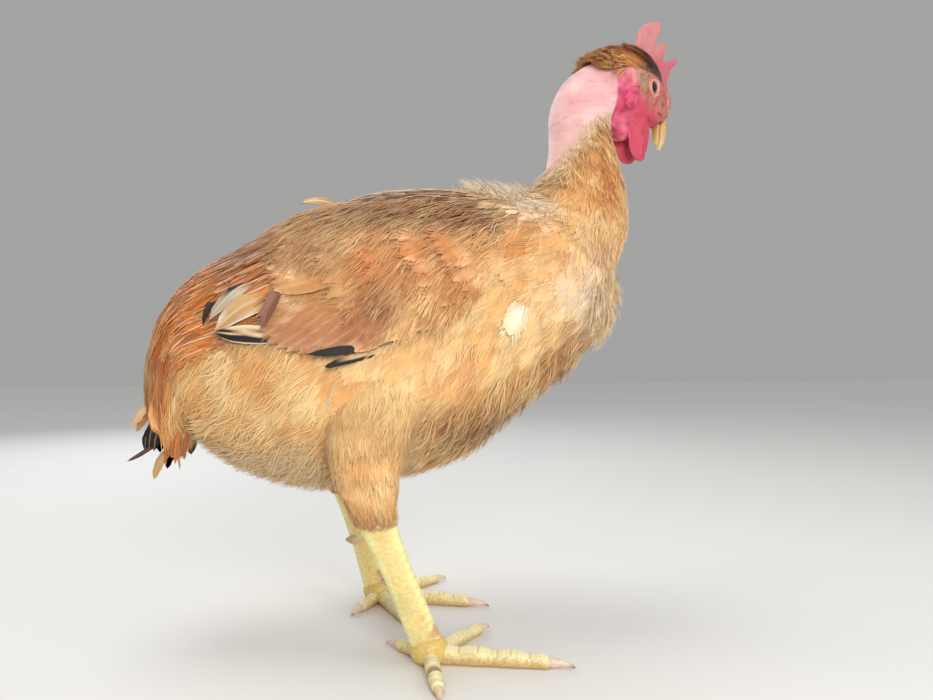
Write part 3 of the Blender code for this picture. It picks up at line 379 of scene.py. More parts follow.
def comb_mesh():
    """A blade from the skull to its toothed edge; its half thickness falls from 2.9 to 0.75 mm."""
    edge = smooth_line(COMB_EDGE, 180)
    base = smooth_line(COMB_BASE, 180)
    share = np.linspace(0, 1, 10)
    side = np.concatenate([share, share[::-1]])
    sign = np.concatenate([np.ones(10), -np.ones(10)])
    spot = base[:, None] + (edge - base)[:, None] * side[None, :, None]
    thick = np.interp(side, [0, 0.3, 0.6, 1.0], [2.9, 2.2, 1.5, 0.75]) * sign
    lean = 1.2 * np.sin(spot[..., 0] * 0.11 + 0.6) * side            # the blade sways a little
    return rings_to_mesh(in_head(spot[..., 0], thick + lean, spot[..., 1]))


def wattle_mesh(side):
    """A hanging lobe: an oval outline carried down from the jaw, narrower below, with upright folds in it."""
    drop = np.array([0, 0.07, 0.15, 0.25, 0.35, 0.48, 0.6, 0.7, 0.8, 0.88, 0.94, 0.98, 1.0])[:, None]
    width = np.interp(drop, [0, 0.15, 0.35, 0.6, 0.8, 0.93, 0.98, 1], [1.0, 1.08, 1.12, 1.04, 0.86, 0.6, 0.42, 0.2])
    a = np.linspace(0, 2 * math.pi, 40, endpoint=False)[None]
    u = 0.5 + 0.5 * np.cos(a) * width
    root = in_head(5 + 22 * u, side * 7.6 * (1 - 0.35 * u), -27 + 12 * u)
    fold = 1.7 * np.sin(3.0 * math.pi * u + 0.6 + side) * ease(drop, 0.12, 0.5) * ease(-drop, -0.98, -0.7)
    thick = 2.1 * (1 - 0.15 * drop) * np.sin(a)
    fall = np.array([0, 0, 1.0]) * (7 - drop * 37)[..., None]
    return rings_to_mesh(root + fall + LEFT * (thick + fold)[..., None])


EYE_PLACE, EYE_RADIUS = (9.2, 10.7, 5.6), 5.7
LID_LONG, LID_TALL, LID_BEAD = 5.9, 5.3, 1.15        # half sizes of the lids' ring, and its bead's radius


def eye_middle(side):
    """The middle of the eyeball on that side."""
    return in_head(EYE_PLACE[0], side * EYE_PLACE[1], EYE_PLACE[2])


def eye_axes(side):
    """Outward, rearward-forward and upward directions of the eye's opening."""
    out = LEFT * side * 0.95 + AHEAD * 0.26 + UP * 0.05
    out /= np.linalg.norm(out)
    along = AHEAD - out * (AHEAD @ out)
    along /= np.linalg.norm(along)
    return out, along, np.cross(out, along) * (1 if np.cross(out, along) @ UP > 0 else -1)


def lid_mesh(side):
    """The lids: a rounded bead along an almond, wider fore and aft, that stands on the eyeball."""
    out, along, up = eye_axes(side)
    a = np.linspace(0, 2 * math.pi, 48, endpoint=False)[:, None, None]
    b = np.linspace(0, 2 * math.pi, 12, endpoint=False)[None, :, None]
    spoke = along * np.cos(a) * LID_LONG + up * (np.sin(a) * LID_TALL * (1 - 0.16 * np.cos(a) ** 2))
    away = spoke / np.linalg.norm(spoke, axis=-1, keepdims=True)
    middle = eye_middle(side) + out * 4.0
    loop = middle + spoke + (away * np.cos(b) + out * np.sin(b)) * LID_BEAD
    here = np.arange(loop.shape[0] * loop.shape[1]).reshape(loop.shape[:2])
    quads = np.stack([here, np.roll(here, -1, 0), np.roll(np.roll(here, -1, 0), -1, 1), np.roll(here, -1, 1)], -1)
    return loop.reshape(-1, 3), quads.reshape(-1, 4), np.zeros((0, 3), int)


def join(parts):
    """Several meshes as one set of arrays."""
    points, quads, tris, shift = [], [], [], 0
    for p, q, t in parts:
        points.append(p)
        quads.append(np.asarray(q, int).reshape(-1, 4) + shift)
        tris.append(np.asarray(t, int).reshape(-1, 3) + shift)
        shift += len(p)
    return np.vstack(points), np.vstack(quads), np.vstack(tris)


ROUND = np.linspace(0, 360, 64, endpoint=False)


def bib_line(off):
    """Station where the feathered bib starts, by the angle off the throat's middle."""
    return np.interp(np.abs(off), [0, 44, 76, 112, 140, 160, 180], [1.55, 1.7, 2.6, 3.65, 4.4, 4.8, 5.0])


def head_parts():
    """Head, bare neck, comb, wattles, lobes, lids, brows and the swelling above the nostrils."""
    s = np.linspace(0, 7, 50)[:, None]
    parts = [rings_to_mesh(HEAD.point(s, ROUND[None], 0.0))]
    s = np.linspace(0, 6.6, 60)[:, None]
    off = 180 - np.abs((ROUND + 180) % 360 - 180)
    sunk = -4.0 * ease(s - bib_line(off)[None], 0.0, 1.0)
    parts.append(rings_to_mesh(BODY.point(s, ROUND[None], sunk)))
    parts.append(comb_mesh())
    parts.append(ovoid(in_head(39.5, 0, 8.5), (5.0, 4.6, 8.0)))                    # swelling above the beak
    parts.append(ovoid(in_head(37.6, 0, 17.5), (6.0, 4.0, 8.0)))
    parts.append(ovoid(in_head(20, 0, 15), (17, 5.2, 9)))                          # foot of the comb
    parts.append(ovoid(in_head(4, 0, -33), (13, 9, 10)))                           # throat
    for side in (1, -1):
        parts.append(wattle_mesh(side))
        parts.append(ovoid(in_head(-4.5, side * 14.2, -15), (6.2, 3.0, 11.5)))     # ear lobe
        parts.append(ovoid(in_head(3.5, side * 4.6, 25), (17.5, 4.6, 6.8)))        # feathered skull beside the comb
        parts.append(lid_mesh(side))
        parts.append(ovoid(in_head(11, side * 11.5, 12.2), (9.5, 3.8, 3.6)))       # brow
        parts.append(ovoid(in_head(20, side * 9.2, -6), (13, 5.6, 8.5)))           # cheek
        parts.append(ovoid(in_head(30, side * 5.6, -2.5), (9, 3.4, 5.0)))          # corner of the mouth
    return parts


def body_parts():
    """Trunk and tail root inside the coat, and the thighs."""
    s = np.concatenate([[4.4], np.linspace(5.0, 17.6, 60)])[:, None]
    depth = np.interp(s, [4.4, 7, 9, 15, 16, 17.6], [-7, -7, -8, -8, -9, -14])
    parts = [rings_to_mesh(BODY.point(s, ROUND[None], depth))]
    for sign, hock in ((-1, (-6, -65, 98)), (1, (-21, 63, 98))):
        rows = np.array([(94, 12, 32, 26, 10), (68, 5, 22, 27, 16), (48, -2, 13, 21.5, 16.5), (28, -4, 4, 16.5, 14),
                         (12, -3, 0, 13.5, 11.5), (-6, 0, 0, 10.5, 8.6)], float)
        rows = smooth_line(rows, 24)
        a = np.linspace(0, 2 * math.pi, 40, endpoint=False)[None]
        middle = np.array(hock, float) + np.stack([rows[:, 1], -sign * rows[:, 2], rows[:, 0]], 1)
        ring = middle[:, None] + np.stack([rows[:, 3:4] * np.cos(a), rows[:, 4:5] * np.sin(a), 0 * a + 0
                                           * rows[:, :1]], -1)
        parts.append(rings_to_mesh(ring))
    return parts


def melt(parts, voxel):
    """Voxel remesh of closed forms: they are sampled on a fine lattice and wrapped again as one surface."""
    mesh = new_mesh("melt", *join(parts))
    made = bpy.data.objects.new("melt", mesh)
    bpy.context.scene.collection.objects.link(made)
    step = made.modifiers.new("remesh", "REMESH")
    step.mode, step.voxel_size = "VOXEL", voxel * 0.001
    graph = bpy.context.evaluated_depsgraph_get()
    graph.update()
    out = made.evaluated_get(graph).to_mesh()
    points = np.empty(len(out.vertices) * 3, np.float32)
    out.vertices.foreach_get("co", points)
    edges = np.empty(len(out.edges) * 2, np.int32)
    out.edges.foreach_get("vertices", edges)
    corners = np.empty(len(out.loops), np.int32)
    out.loops.foreach_get("vertex_index", corners)
    made.evaluated_get(graph).to_mesh_clear()
    bpy.data.objects.remove(made)
    bpy.data.meshes.remove(mesh)
    return points.reshape(-1, 3).astype(float) * 1000 + ORIGIN, corners.reshape(-1, 4), edges.reshape(-1, 2)


def relax(points, edges, rounds, keep=0.5):
    """Each point moves part of the way to the mean of its neighbours."""
    count = np.bincount(edges.ravel(), minlength=len(points))[:, None]
    for _ in range(rounds):
        total = np.stack([np.bincount(edges[:, 0], points[edges[:, 1], k], len(points))
                          + np.bincount(edges[:, 1], points[edges[:, 0], k], len(points)) for k in range(3)], 1)
        points = points * (1 - keep) + total / count * keep
    return points


def outward(points, quads):
    """The mean direction of the faces round each point."""
    across = np.cross(points[quads[:, 2]] - points[quads[:, 0]], points[quads[:, 3]] - points[quads[:, 1]])
    total = np.stack([np.bincount(quads.ravel(), np.repeat(across[:, k], 4), len(points)) for k in range(3)], 1)
    return total / np.maximum(np.linalg.norm(total, axis=1, keepdims=True), 1e-12)


head_skin, head_quads, head_edges = melt(head_parts(), 0.86)
head_skin = relax(head_skin, head_edges, 2)
body_skin, body_quads, body_edges = melt(body_parts(), 3.2)
body_skin = relax(body_skin, body_edges, 3)
print("skin points", len(head_skin), "and", len(body_skin))

# %% [markdown]
# ## Wrinkles, pimples and colour of the bare skin
# Close to, the face is covered in small blunt pimples, the comb in finer grain, and the neck in cross folds and
# follicles where feathers never grew. Each is a push along the outward direction, weighted by where a point
# lies. The colours use the same weights, so crimson lobes end exactly where the lobes do.

# %% Work the skin
def shell(points, middle, radii):
    """How deep a point lies in an egg in the head's frame: 1 at its middle, 0 on it, less outside."""
    x, y, z = from_head(points)
    return 1 - np.sqrt(((x - middle[0]) / radii[0]) ** 2 + ((np.abs(y) - middle[1]) / radii[1]) ** 2
                       + ((z - middle[2]) / radii[2]) ** 2)


def comb_share(points):
    """1 on the comb, 0 off it: thin, near the middle plane and above the line that it stands on."""
    x, y, z = from_head(points)
    stand = np.interp(x, [-14, -8, 0, 8, 18, 25, 30, 36, 44], [26, 28, 31.5, 33, 33, 30, 27, 27, 27])
    return ease(z - stand, -1.5, 1.0) * ease(-np.abs(y), -4.6, -3.6)


def wattle_share(points):
    """1 on the wattles, 0 off them."""
    x, y, z = from_head(points)
    jaw = np.interp(x, [-5, 5, 27, 34], [-35, -33, -19, -14])
    rear = 201.0 + 0.10 * (392 - points[:, 2])              # the throat's front, which falls away straight down
    return ease(jaw - z, -2.0, 3.0) * ease(points[:, 0] - rear, 0.0, 3.0) * ease(x, -8, -2)


def eye_share(points, side, reach):
    """1 within reach of the eye's axis on that side, fading over 1.2 mm."""
    out, _, _ = eye_axes(side)
    away = points - eye_middle(side)
    depth = away @ out
    radial = np.linalg.norm(away - depth[:, None] * out, axis=1)
    return ease(-radial, -reach - 0.6, -reach + 0.6) * (depth > 0)


def line_share(points, knots, width):
    """1 on a line on the head's sides given by (x, z) knots, 0 beyond its width."""
    x, y, z = from_head(points)
    line = smooth_line(knots, 40)
    gap = np.min(np.hypot(x[:, None] - line[None, :, 0], z[:, None] - line[None, :, 1]), axis=1)
    return np.exp(-(gap / width) ** 2)


MOUTH = [(43, -6.5), (38, -6.5), (33, -6), (28, -6.5), (24, -8)]
normal = outward(head_skin, head_quads)
hx, hy, hz = from_head(head_skin)
comb_on, wattle_on = comb_share(head_skin), wattle_share(head_skin)
lobe_on = ease(shell(head_skin, (-4.5, 14.2, -15), (6.2, 3.0, 11.5)), -0.16, -0.02)
nose_on = ease(hx, 31, 36) * ease(hz, 6, 12) * (1 - comb_on)
border = np.interp(hz, [-67, -49, -35, -22, -8, 5], [4.4, -6.1, -12.7, -19.3, -27.5, -34])   # face meets neck
neck_on = 1 - ease(hx - border, -0.8, 1.6) * ease(hz, -78, -68)
face_on = ease(hx, -12, -4) * (1 - comb_on) * (1 - lobe_on)
lids_on = np.maximum(eye_share(head_skin, 1, 7.4), eye_share(head_skin, -1, 7.4))
mouth_on = line_share(head_skin, MOUTH, 0.8) * (np.abs(hy) > 1.5)

push = 0.30 * (0.45 - pebbles(head_skin, 1.7, 3)) * face_on * (1 - lids_on) * (1 - 0.5 * wattle_on)
push += 0.16 * clouds(head_skin, 2.4, 5) * face_on
push += (0.16 * (0.45 - pebbles(head_skin, 1.15, 8)) + 0.25 * clouds(head_skin * [1, 1, 0.4], 3.5, 2)) * comb_on
push += 0.35 * clouds(in_head(hx, hy, hz * 0.3), 2.6, 4) * wattle_on
push += 0.22 * (0.45 - pebbles(head_skin, 2.1, 6)) * lobe_on
push += (0.55 * clouds(head_skin, 4.4, 61) + 0.5 * (0.3 - np.abs(clouds(head_skin * [1, 1, 0.6], 3.6, 62)))) * (
    # folds of lobe and throat
    ease(border + 27 - hx, 0, 6) * (1 - neck_on) * (1 - comb_on) * (1 - 0.6 * wattle_on))
push += 0.55 * (0.4 - pebbles(head_skin, 2.6, 63)) * nose_on
push -= 0.9 * mouth_on * (hx < 40)
folds = clouds(head_skin * [0.45, 0.45, 1.5] + 2.0 * clouds(head_skin, 9, 1)[:, None], 3.6, 9)
push += (0.13 * folds + 0.4 * clouds(head_skin, 11, 12)) * neck_on * (1 - comb_on)
push += 0.35 * ease(-pebbles(head_skin, 3.4, 15), -0.25, -0.05) * neck_on
lid_fold = np.zeros(len(head_skin))
for side in (1, -1):
    out, along, up = eye_axes(side)
    away = head_skin - eye_middle(side)
    ring = np.hypot((away @ along) / LID_LONG, (away @ up) / LID_TALL)
    near = ((away @ out) > 0) & (ring < 2.6)
    lid_fold += near * 0.28 * np.sin((ring - 1.28) * 16) * ease(-ring, -2.2, -1.4)
push += lid_fold
head_skin = head_skin + normal * push[:, None]
for side in (1, -1):                                  # sink what lies inside the lids, so that the eye shows
    out, along, up = eye_axes(side)
    away = head_skin - eye_middle(side)
    ring = np.hypot((away @ along) / 5.5, (away @ up) / 4.6)
    sink = ease(-ring, -1.0, -0.9) * ((away @ out) > 0)
    head_skin = head_skin - out * (sink * 4.2)[:, None]
print("bare skin worked by up to", round(float(np.abs(push).max()), 2), "mm")


# %% [markdown]
# ## Colours of the skin
# Skin colour is blood under a thin hide: salmon on the comb, crimson on the lobes and wattles, pink with paler
# pimples on the face, and pale rose on the neck with flushed blotches. We mix them per point from a few named
# colours. Shade and light are painted in too: the folds' bottoms, the lobes' hollows and every dent are darker,
# every rise and the bumps above the beak are lighter, and the foot of the neck is paler against the shade there.

# %% Tint the skin
def skin_colours(points, push):
    """The named colours, laid over one another by the shares found above."""
    x, y, z = from_head(points)
    neck = blend(paint(236, 190, 188), paint(232, 172, 176), ease(clouds(points, 16, 21), -0.3, 0.8))
    neck = blend(neck, paint(230, 156, 168), 0.4 * ease(-points[:, 2], -352, -338) * ease(clouds(points, 6, 3),
                                                                                          -0.3, 0.5))
    neck = blend(neck, paint(240, 206, 196), 0.35 * ease(clouds(points, 6, 33), 0.0, 0.8))
    # painted shade: the bottoms of the neck's folds are darkened
    neck = blend(neck, paint(216, 146, 146), 0.3 * ease(-folds, 0.1, 0.7))
    # painted light: the foot of the bare neck is made paler, against the shade that falls there under the bib
    neck = blend(neck, paint(250, 202, 198), 0.7 * ease(-points[:, 2], -372, -352))
    face = blend(paint(180, 92, 86), paint(190, 116, 104), ease(clouds(points, 3.5, 22), -0.4, 0.5))
    face = blend(face, paint(142, 60, 58), 0.6 * ease(clouds(points, 2.4, 26), 0.1, 0.7))
    face = blend(face, paint(204, 70, 94), ease(-z, 4, 16))
    face = blend(face, paint(192, 118, 118), 0.8 * nose_on)
    # painted highlight: the tops of the bumps above the beak are paler
    face = blend(face, paint(232, 182, 170), 0.7 * nose_on * ease(-pebbles(points, 2.6, 63), -0.42, -0.2))
    lobed = ease(border + 24 - x, -3, 5)
    deep = np.exp(-((x + 6) / 9) ** 2 - ((z + 21) / 13) ** 2)
    rose = blend(blend(paint(222, 104, 134), paint(228, 132, 150), ease(clouds(points, 4, 25), -0.2, 0.6)),
                 paint(196, 40, 88),
                 np.clip(0.9 * deep + 0.5 * ease(clouds(points, 5, 24), 0.0, 0.6), 0, 1))
    face = blend(face, rose, lobed)
    # painted shade: the lobes' hollows are darker
    face = blend(face, paint(170, 34, 74), 0.4 * lobed * ease(-push, 0.05, 0.5))
    pale = np.exp(-((x + 7) / 8) ** 2 - ((z - 1) / 8) ** 2) * ease(clouds(points, 4, 27), -0.6, 0.2)
    face = blend(face, paint(228, 176, 156), 0.8 * pale)
    face = blend(face, paint(146, 104, 78), 0.6 * line_share(points, [(-10, 3), (-1, 3), (4, -1), (8, -5),
                                                                      (14, -10)], 1.3))
    face = blend(face, paint(226, 150, 140), 0.4 * ease(-pebbles(points, 1.7, 3), -0.30, -0.12))
    cap = ease(np.abs(y), 1.5, 3.0) * ease(z - np.interp(x, [-30, -15, 0, 12, 22, 28], [2, 10, 18, 24, 27, 30]), 0, 3)
    comb = blend(paint(196, 96, 112), paint(212, 136, 136), ease(z - 0.9 * x, 20, 50))
    comb = blend(comb, paint(226, 160, 154), 0.5 * ease(-pebbles(points, 1.15, 8), -0.32, -0.1))
    comb = blend(comb, paint(196, 100, 104), 0.35 * ease(clouds(points, 7, 41), 0.0, 0.7))
    lobe = blend(paint(214, 84, 118), paint(190, 40, 84), ease(clouds(points, 3, 44), -0.4, 0.5))
    wattle = blend(paint(192, 46, 76), paint(214, 84, 104), ease(clouds(points, 5, 45), -0.4, 0.6))
    lid = blend(paint(226, 168, 150), paint(206, 120, 112), ease(clouds(points, 2, 46), -0.2, 0.7))
    out = blend(neck, face, 1 - neck_on)
    out = blend(out, wattle, wattle_on)
    out = blend(out, lobe, lobe_on)
    out = blend(out, paint(96, 40, 28), cap * (1 - neck_on))          # hidden by the crown's feathers
    out = blend(out, comb, comb_on)
    ring = np.maximum(eye_share(points, 1, 6.9), eye_share(points, -1, 6.9)) * (1 - comb_on)
    out = blend(out, lid, ring)
    out = blend(out, paint(60, 26, 24), np.maximum(eye_share(points, 1, 3.9), eye_share(points, -1, 3.9)))
    out = blend(out, paint(120, 36, 40), 0.75 * mouth_on * (x < 40))
    # painted shade and light: darker where the skin is pushed in, lighter where it is pushed out
    out = out * (1 + 0.28 * np.clip(push, -0.6, 0.5))[:, None]
    return opaque(out, DARKEST)


head_tint = skin_colours(head_skin, push)
body_tint = np.tile(np.append(paint(214, 158, 138), 1.0), (len(body_skin), 1))


# %% [markdown]
# ## How skin takes the light
# Light enters skin, turns red and comes out again beside where it went in, and a thin film of oil gives it a
# broken shine. The Principled shader has both. A small node group, shared by all the skins, adds grain that is
# finer than the mesh.

# %% Node groups and the skin's finish
def group(name, inputs, outputs):
    """An empty node group with named sockets: (name, kind, start value)."""
    made = bpy.data.node_groups.new(name, "ShaderNodeTree")
    for label, kind, value in inputs:
        socket = made.interface.new_socket(label, in_out="INPUT", socket_type="NodeSocket" + kind)
        if value is not None:
            socket.default_value = value
    for label, kind in outputs:
        made.interface.new_socket(label, in_out="OUTPUT", socket_type="NodeSocket" + kind)
    made.nodes.new("NodeGroupInput").name = "in"
    made.nodes.new("NodeGroupOutput").name = "out"
    return made


def node(tree, kind, links=(), **values):
    """A node with its settings, and links given as (input, from node, output)."""
    made = tree.nodes.new(kind)
    for key, value in values.items():
        if key.startswith("at_"):
            made.inputs[int(key[3:])].default_value = value
        else:
            setattr(made, key, value)
    for socket, source, output in links:
        tree.links.new(source.outputs[output], made.inputs[socket])
    return made


def grain_group():
    """Colour varied by soft and fine noise, and the height of that grain."""
    tree = group("skin grain", [("Color", "Color", (1, 1, 1, 1)), ("Scale", "Float", 900.0),
                                ("Amount", "Float", 0.2)],
                 [("Color", "Color"), ("Height", "Float")])
    start, end = tree.nodes["in"], tree.nodes["out"]
    place = node(tree, "ShaderNodeTexCoord")
    fine = node(tree, "ShaderNodeTexNoise", [("Vector", place, "Object"), ("Scale", start, "Scale")])
    fine.inputs["Detail"].default_value = 5
    spots = node(tree, "ShaderNodeTexVoronoi", [("Vector", place, "Object"), ("Scale", start, "Scale")])
    height = node(tree, "ShaderNodeMath", [(0, fine, "Fac"), (1, spots, "Distance")], operation="SUBTRACT")
    swing = node(tree, "ShaderNodeMath", [(0, height, 0), (1, start, "Amount")], operation="MULTIPLY")
    bright = node(tree, "ShaderNodeMath", [(0, swing, 0)], operation="ADD", at_1=1.0)
    colour = node(tree, "ShaderNodeVectorMath", [(0, start, "Color"), ("Scale", bright, 0)], operation="SCALE")
    tree.links.new(colour.outputs[0], end.inputs["Color"])
    tree.links.new(height.outputs[0], end.inputs["Height"])
    return tree


GRAIN = grain_group()


def finish(name, roughness, **fixed):
    """A material with a Principled shader whose unvaried values are set on its own sockets."""
    made = bpy.data.materials.new(name)
    made.use_nodes = True
    shader = made.node_tree.nodes["Principled BSDF"]
    shader.inputs["Roughness"].default_value = roughness
    for key, value in fixed.items():
        shader.inputs[key.replace("_", " ")].default_value = value
    return made, made.node_tree, shader


def tinted(name, roughness, scale, amount, bump, **fixed):
    """Skin, horn or scale: the piece's own tint, varied by the grain group, with the grain as bump."""
    made, tree, shader = finish(name, roughness, **fixed)
    tint = node(tree, "ShaderNodeAttribute", attribute_name="Tint")
    grain = node(tree, "ShaderNodeGroup", node_tree=GRAIN)
    grain.inputs["Scale"].default_value, grain.inputs["Amount"].default_value = scale, amount
    tree.links.new(tint.outputs["Color"], grain.inputs["Color"])
    tree.links.new(grain.outputs["Color"], shader.inputs["Base Color"])
    relief = node(tree, "ShaderNodeBump", [("Height", grain, "Height")])
    relief.inputs["Strength"].default_value, relief.inputs["Distance"].default_value = bump, 0.0004
    tree.links.new(relief.outputs["Normal"], shader.inputs["Normal"])
    return made


SKIN = tinted("bare skin", 0.48, 1500, 0.22, 0.5, Subsurface_Weight=0.35, Subsurface_Radius=(0.0022, 0.0009, 0.0006),
              Subsurface_Scale=1.0, Specular_IOR_Level=0.42)
points, quads, tris = join([(head_skin, head_quads, []), (body_skin, body_quads, [])])
skin_mesh = new_mesh("skin", points, quads, tris)
add_tint(skin_mesh, np.vstack([head_tint, body_tint]))
show("skin", skin_mesh, SKIN,
     ["torso", "neck", "tail", "head", "comb"] + [f"{part}_{word}" for word in ("right", "left")
                                                  for part in ("ear", "eyelids", "wattle", "thigh")])

# %% [markdown]
# ## Eyes
# A cockerel's eye is a dark brown ball with an orange-brown ring round a black pupil, wet enough to hold a sharp
# highlight. It sits deep, with only its cap between the lids. We turn a ball about the eye's own axis and tint
# it in rings. A clear coat gives the wet shine.

# %% Eyeballs
def ball_on_axis(middle, radius, axes, rows=40, count=48):
    """A ball whose pole looks along the first axis, with a slightly raised clear cap over the iris."""
    lean = np.linspace(0.02, math.pi - 0.02, rows)[:, None, None]
    a = np.linspace(0, 2 * math.pi, count, endpoint=False)[None, :, None]
    cap = 1 + 0.035 * ease(-lean, -0.62, -0.35)
    ring = middle + radius * cap * (np.cos(lean) * axes[0] + np.sin(lean) * (np.cos(a) * axes[1] + np.sin(a)
                                                                             * axes[2]))
    return rings_to_mesh(ring), np.degrees(np.concatenate([np.repeat(lean.ravel(), count), [0, math.pi]]))


EYE = tinted("wet eye", 0.3, 3000, 0.25, 0.0, Coat_Weight=0.35, Coat_Roughness=0.03, Specular_IOR_Level=0.2)
for side, word in ((1, "left"), (-1, "right")):
    middle = eye_middle(side)
    (points, quads, tris), lean = ball_on_axis(middle, EYE_RADIUS, eye_axes(side))
    rays = clouds(points * 3.0, 1.0, 7)
    tint = blend(paint(58, 26, 14) * (1 + 0.4 * rays[:, None]), paint(12, 6, 5), ease(-lean, -30, -26))
    tint = blend(tint, paint(24, 11, 8), ease(lean, 44, 50))
    mesh = new_mesh(f"eyeball_{word}", points, quads, tris)
    add_tint(mesh, opaque(tint))
    show(f"eyeball_{word}", mesh, EYE, [f"eye_{word}"])

# %% [markdown]
# ## Beak
# The beak is horn over bone: a hooked upper half that closes over a shorter lower half, straw yellow with a
# grey-green ridge and growth lines across it. Each half is a run of ovals along the same lines as its solid,
# only finer, and its colour follows the angle round the oval.

# %% Horn beak
HORN = tinted("horn", 0.32, 1800, 0.16, 0.35, Subsurface_Weight=0.12, Subsurface_Radius=(0.001, 0.0007, 0.0003),
              Subsurface_Scale=1.0, Coat_Weight=0.25, Coat_Roughness=0.2)
UPPER = [(41.0, 6.6, 36.6, -3.4, 5.6), (43.2, 4.0, 38.6, -4.4, 5.2), (47.6, -1.6, 41.9, -8.6, 4.5),
         (50.6, -9.2, 44.6, -13.2, 3.7), (51.4, -15.5, 46.8, -17.6, 2.6), (50.2, -20.2, 49.0, -20.6, 0.9)]
LOWER = [(36.0, -3.0, 34.0, -7.4, 4.6), (38.1, -4.9, 36.3, -8.7, 4.4), (40.9, -9.3, 38.4, -13.0, 3.9),
         (44.4, -14.2, 41.8, -17.0, 3.0), (46.2, -17.2, 45.2, -18.4, 1.2)]


def beak_half(rows, name):
    """A run of ovals; growth lines are shallow rings, and the nostril is a dent on each side of the root."""
    form, a = head_form(rows), np.linspace(0, 360, 48, endpoint=False)[None]
    s = np.linspace(0, len(rows) - 1, 70)[:, None]
    lift = 0.05 * np.sin(s * 21) * ease(-s, -len(rows) + 1.6, -len(rows) + 2.6) + 0 * a
    off = 180 - np.abs((a + 180) % 360 - 180)
    if name == "beak_upper":
        lift = lift - 1.5 * np.exp(-((s - 1.35) / 0.16) ** 2 - ((180 - off - 62) / 13) ** 2)
    rings = form.point(s, a, lift)
    points, quads, tris = rings_to_mesh(rings)
    ridge = np.append(ease(off, 140, 172) + 0 * s, [0, 0]) if name == "beak_upper" else np.zeros(rings.shape[0] * 48
                                                                                                 + 2)
    share = np.append(np.broadcast_to(s / (len(rows) - 1), rings.shape[:2]).ravel(), [0, 1])
    tint = blend(paint(204, 164, 98), paint(222, 196, 142), ease(share, 0.45, 1.0))
    tint = blend(tint, paint(150, 140, 96), 0.75 * ridge.ravel())
    tint = blend(tint, paint(206, 150, 96), 0.5 * ease(-share, -0.3, -0.1))
    streak = clouds(points, 1.6, 4)
    tint = tint * (1 + 0.10 * streak)[:, None]
    dent = np.append(np.exp(-((s - 1.35) / 0.14) ** 2 - ((180 - off - 62) / 11) ** 2), [0, 0])
    # painted shade: the nostril's dent is darkened
    if name == "beak_upper":
        tint = blend(tint, paint(70, 40, 30), np.clip(dent.ravel(), 0, 1))
    mesh = new_mesh(name, points, quads, tris)
    add_tint(mesh, opaque(tint))
    return show(f"horn_{name}", mesh, HORN, [name])


beak_half(UPPER, "beak_upper")
beak_half(LOWER, "beak_lower")

# %% [markdown]
# ## Scaled legs and claws
# The front of a cockerel's shank carries two rows of broad plates that overlap downward, the sides are small
# pebbles, and each toe has one row of plates on top. On one long grid the relief is a sawtooth along the leg,
# and the grooves between plates are darker.

# %% Shanks, feet and toes
LEGS = {"right": dict(sign=-1, hock=(-6, -65, 98), ankle=(28, -65, 13), headings=(125, 47, -17, -91),
                      lengths=(22, 54, 70, 42)),
        "left": dict(sign=1, hock=(-21, 63, 98), ankle=(4, 65, 13), headings=(-122, -74, -21, 38),
                     lengths=(22, 50, 66, 58))}
YELLOW, SHANK_HIGHLIGHT, AMBER, GROOVE = paint(244, 236, 166), paint(253, 251, 222), paint(236, 206, 130), paint(206, 172, 104)


def plates(share, count, sharp=0.9):
    """Sawtooth: each plate swells from 0 to 1 and falls back at its lower edge; also the groove's darkness."""
    part = np.asarray(share) * count % 1.0
    rise = np.sqrt(np.clip(part, 0, 1)) * (1 - ease(part, sharp, 1.0))
    return rise, np.maximum(ease(part, sharp, 1.0), ease(-part, -0.10, 0.0))


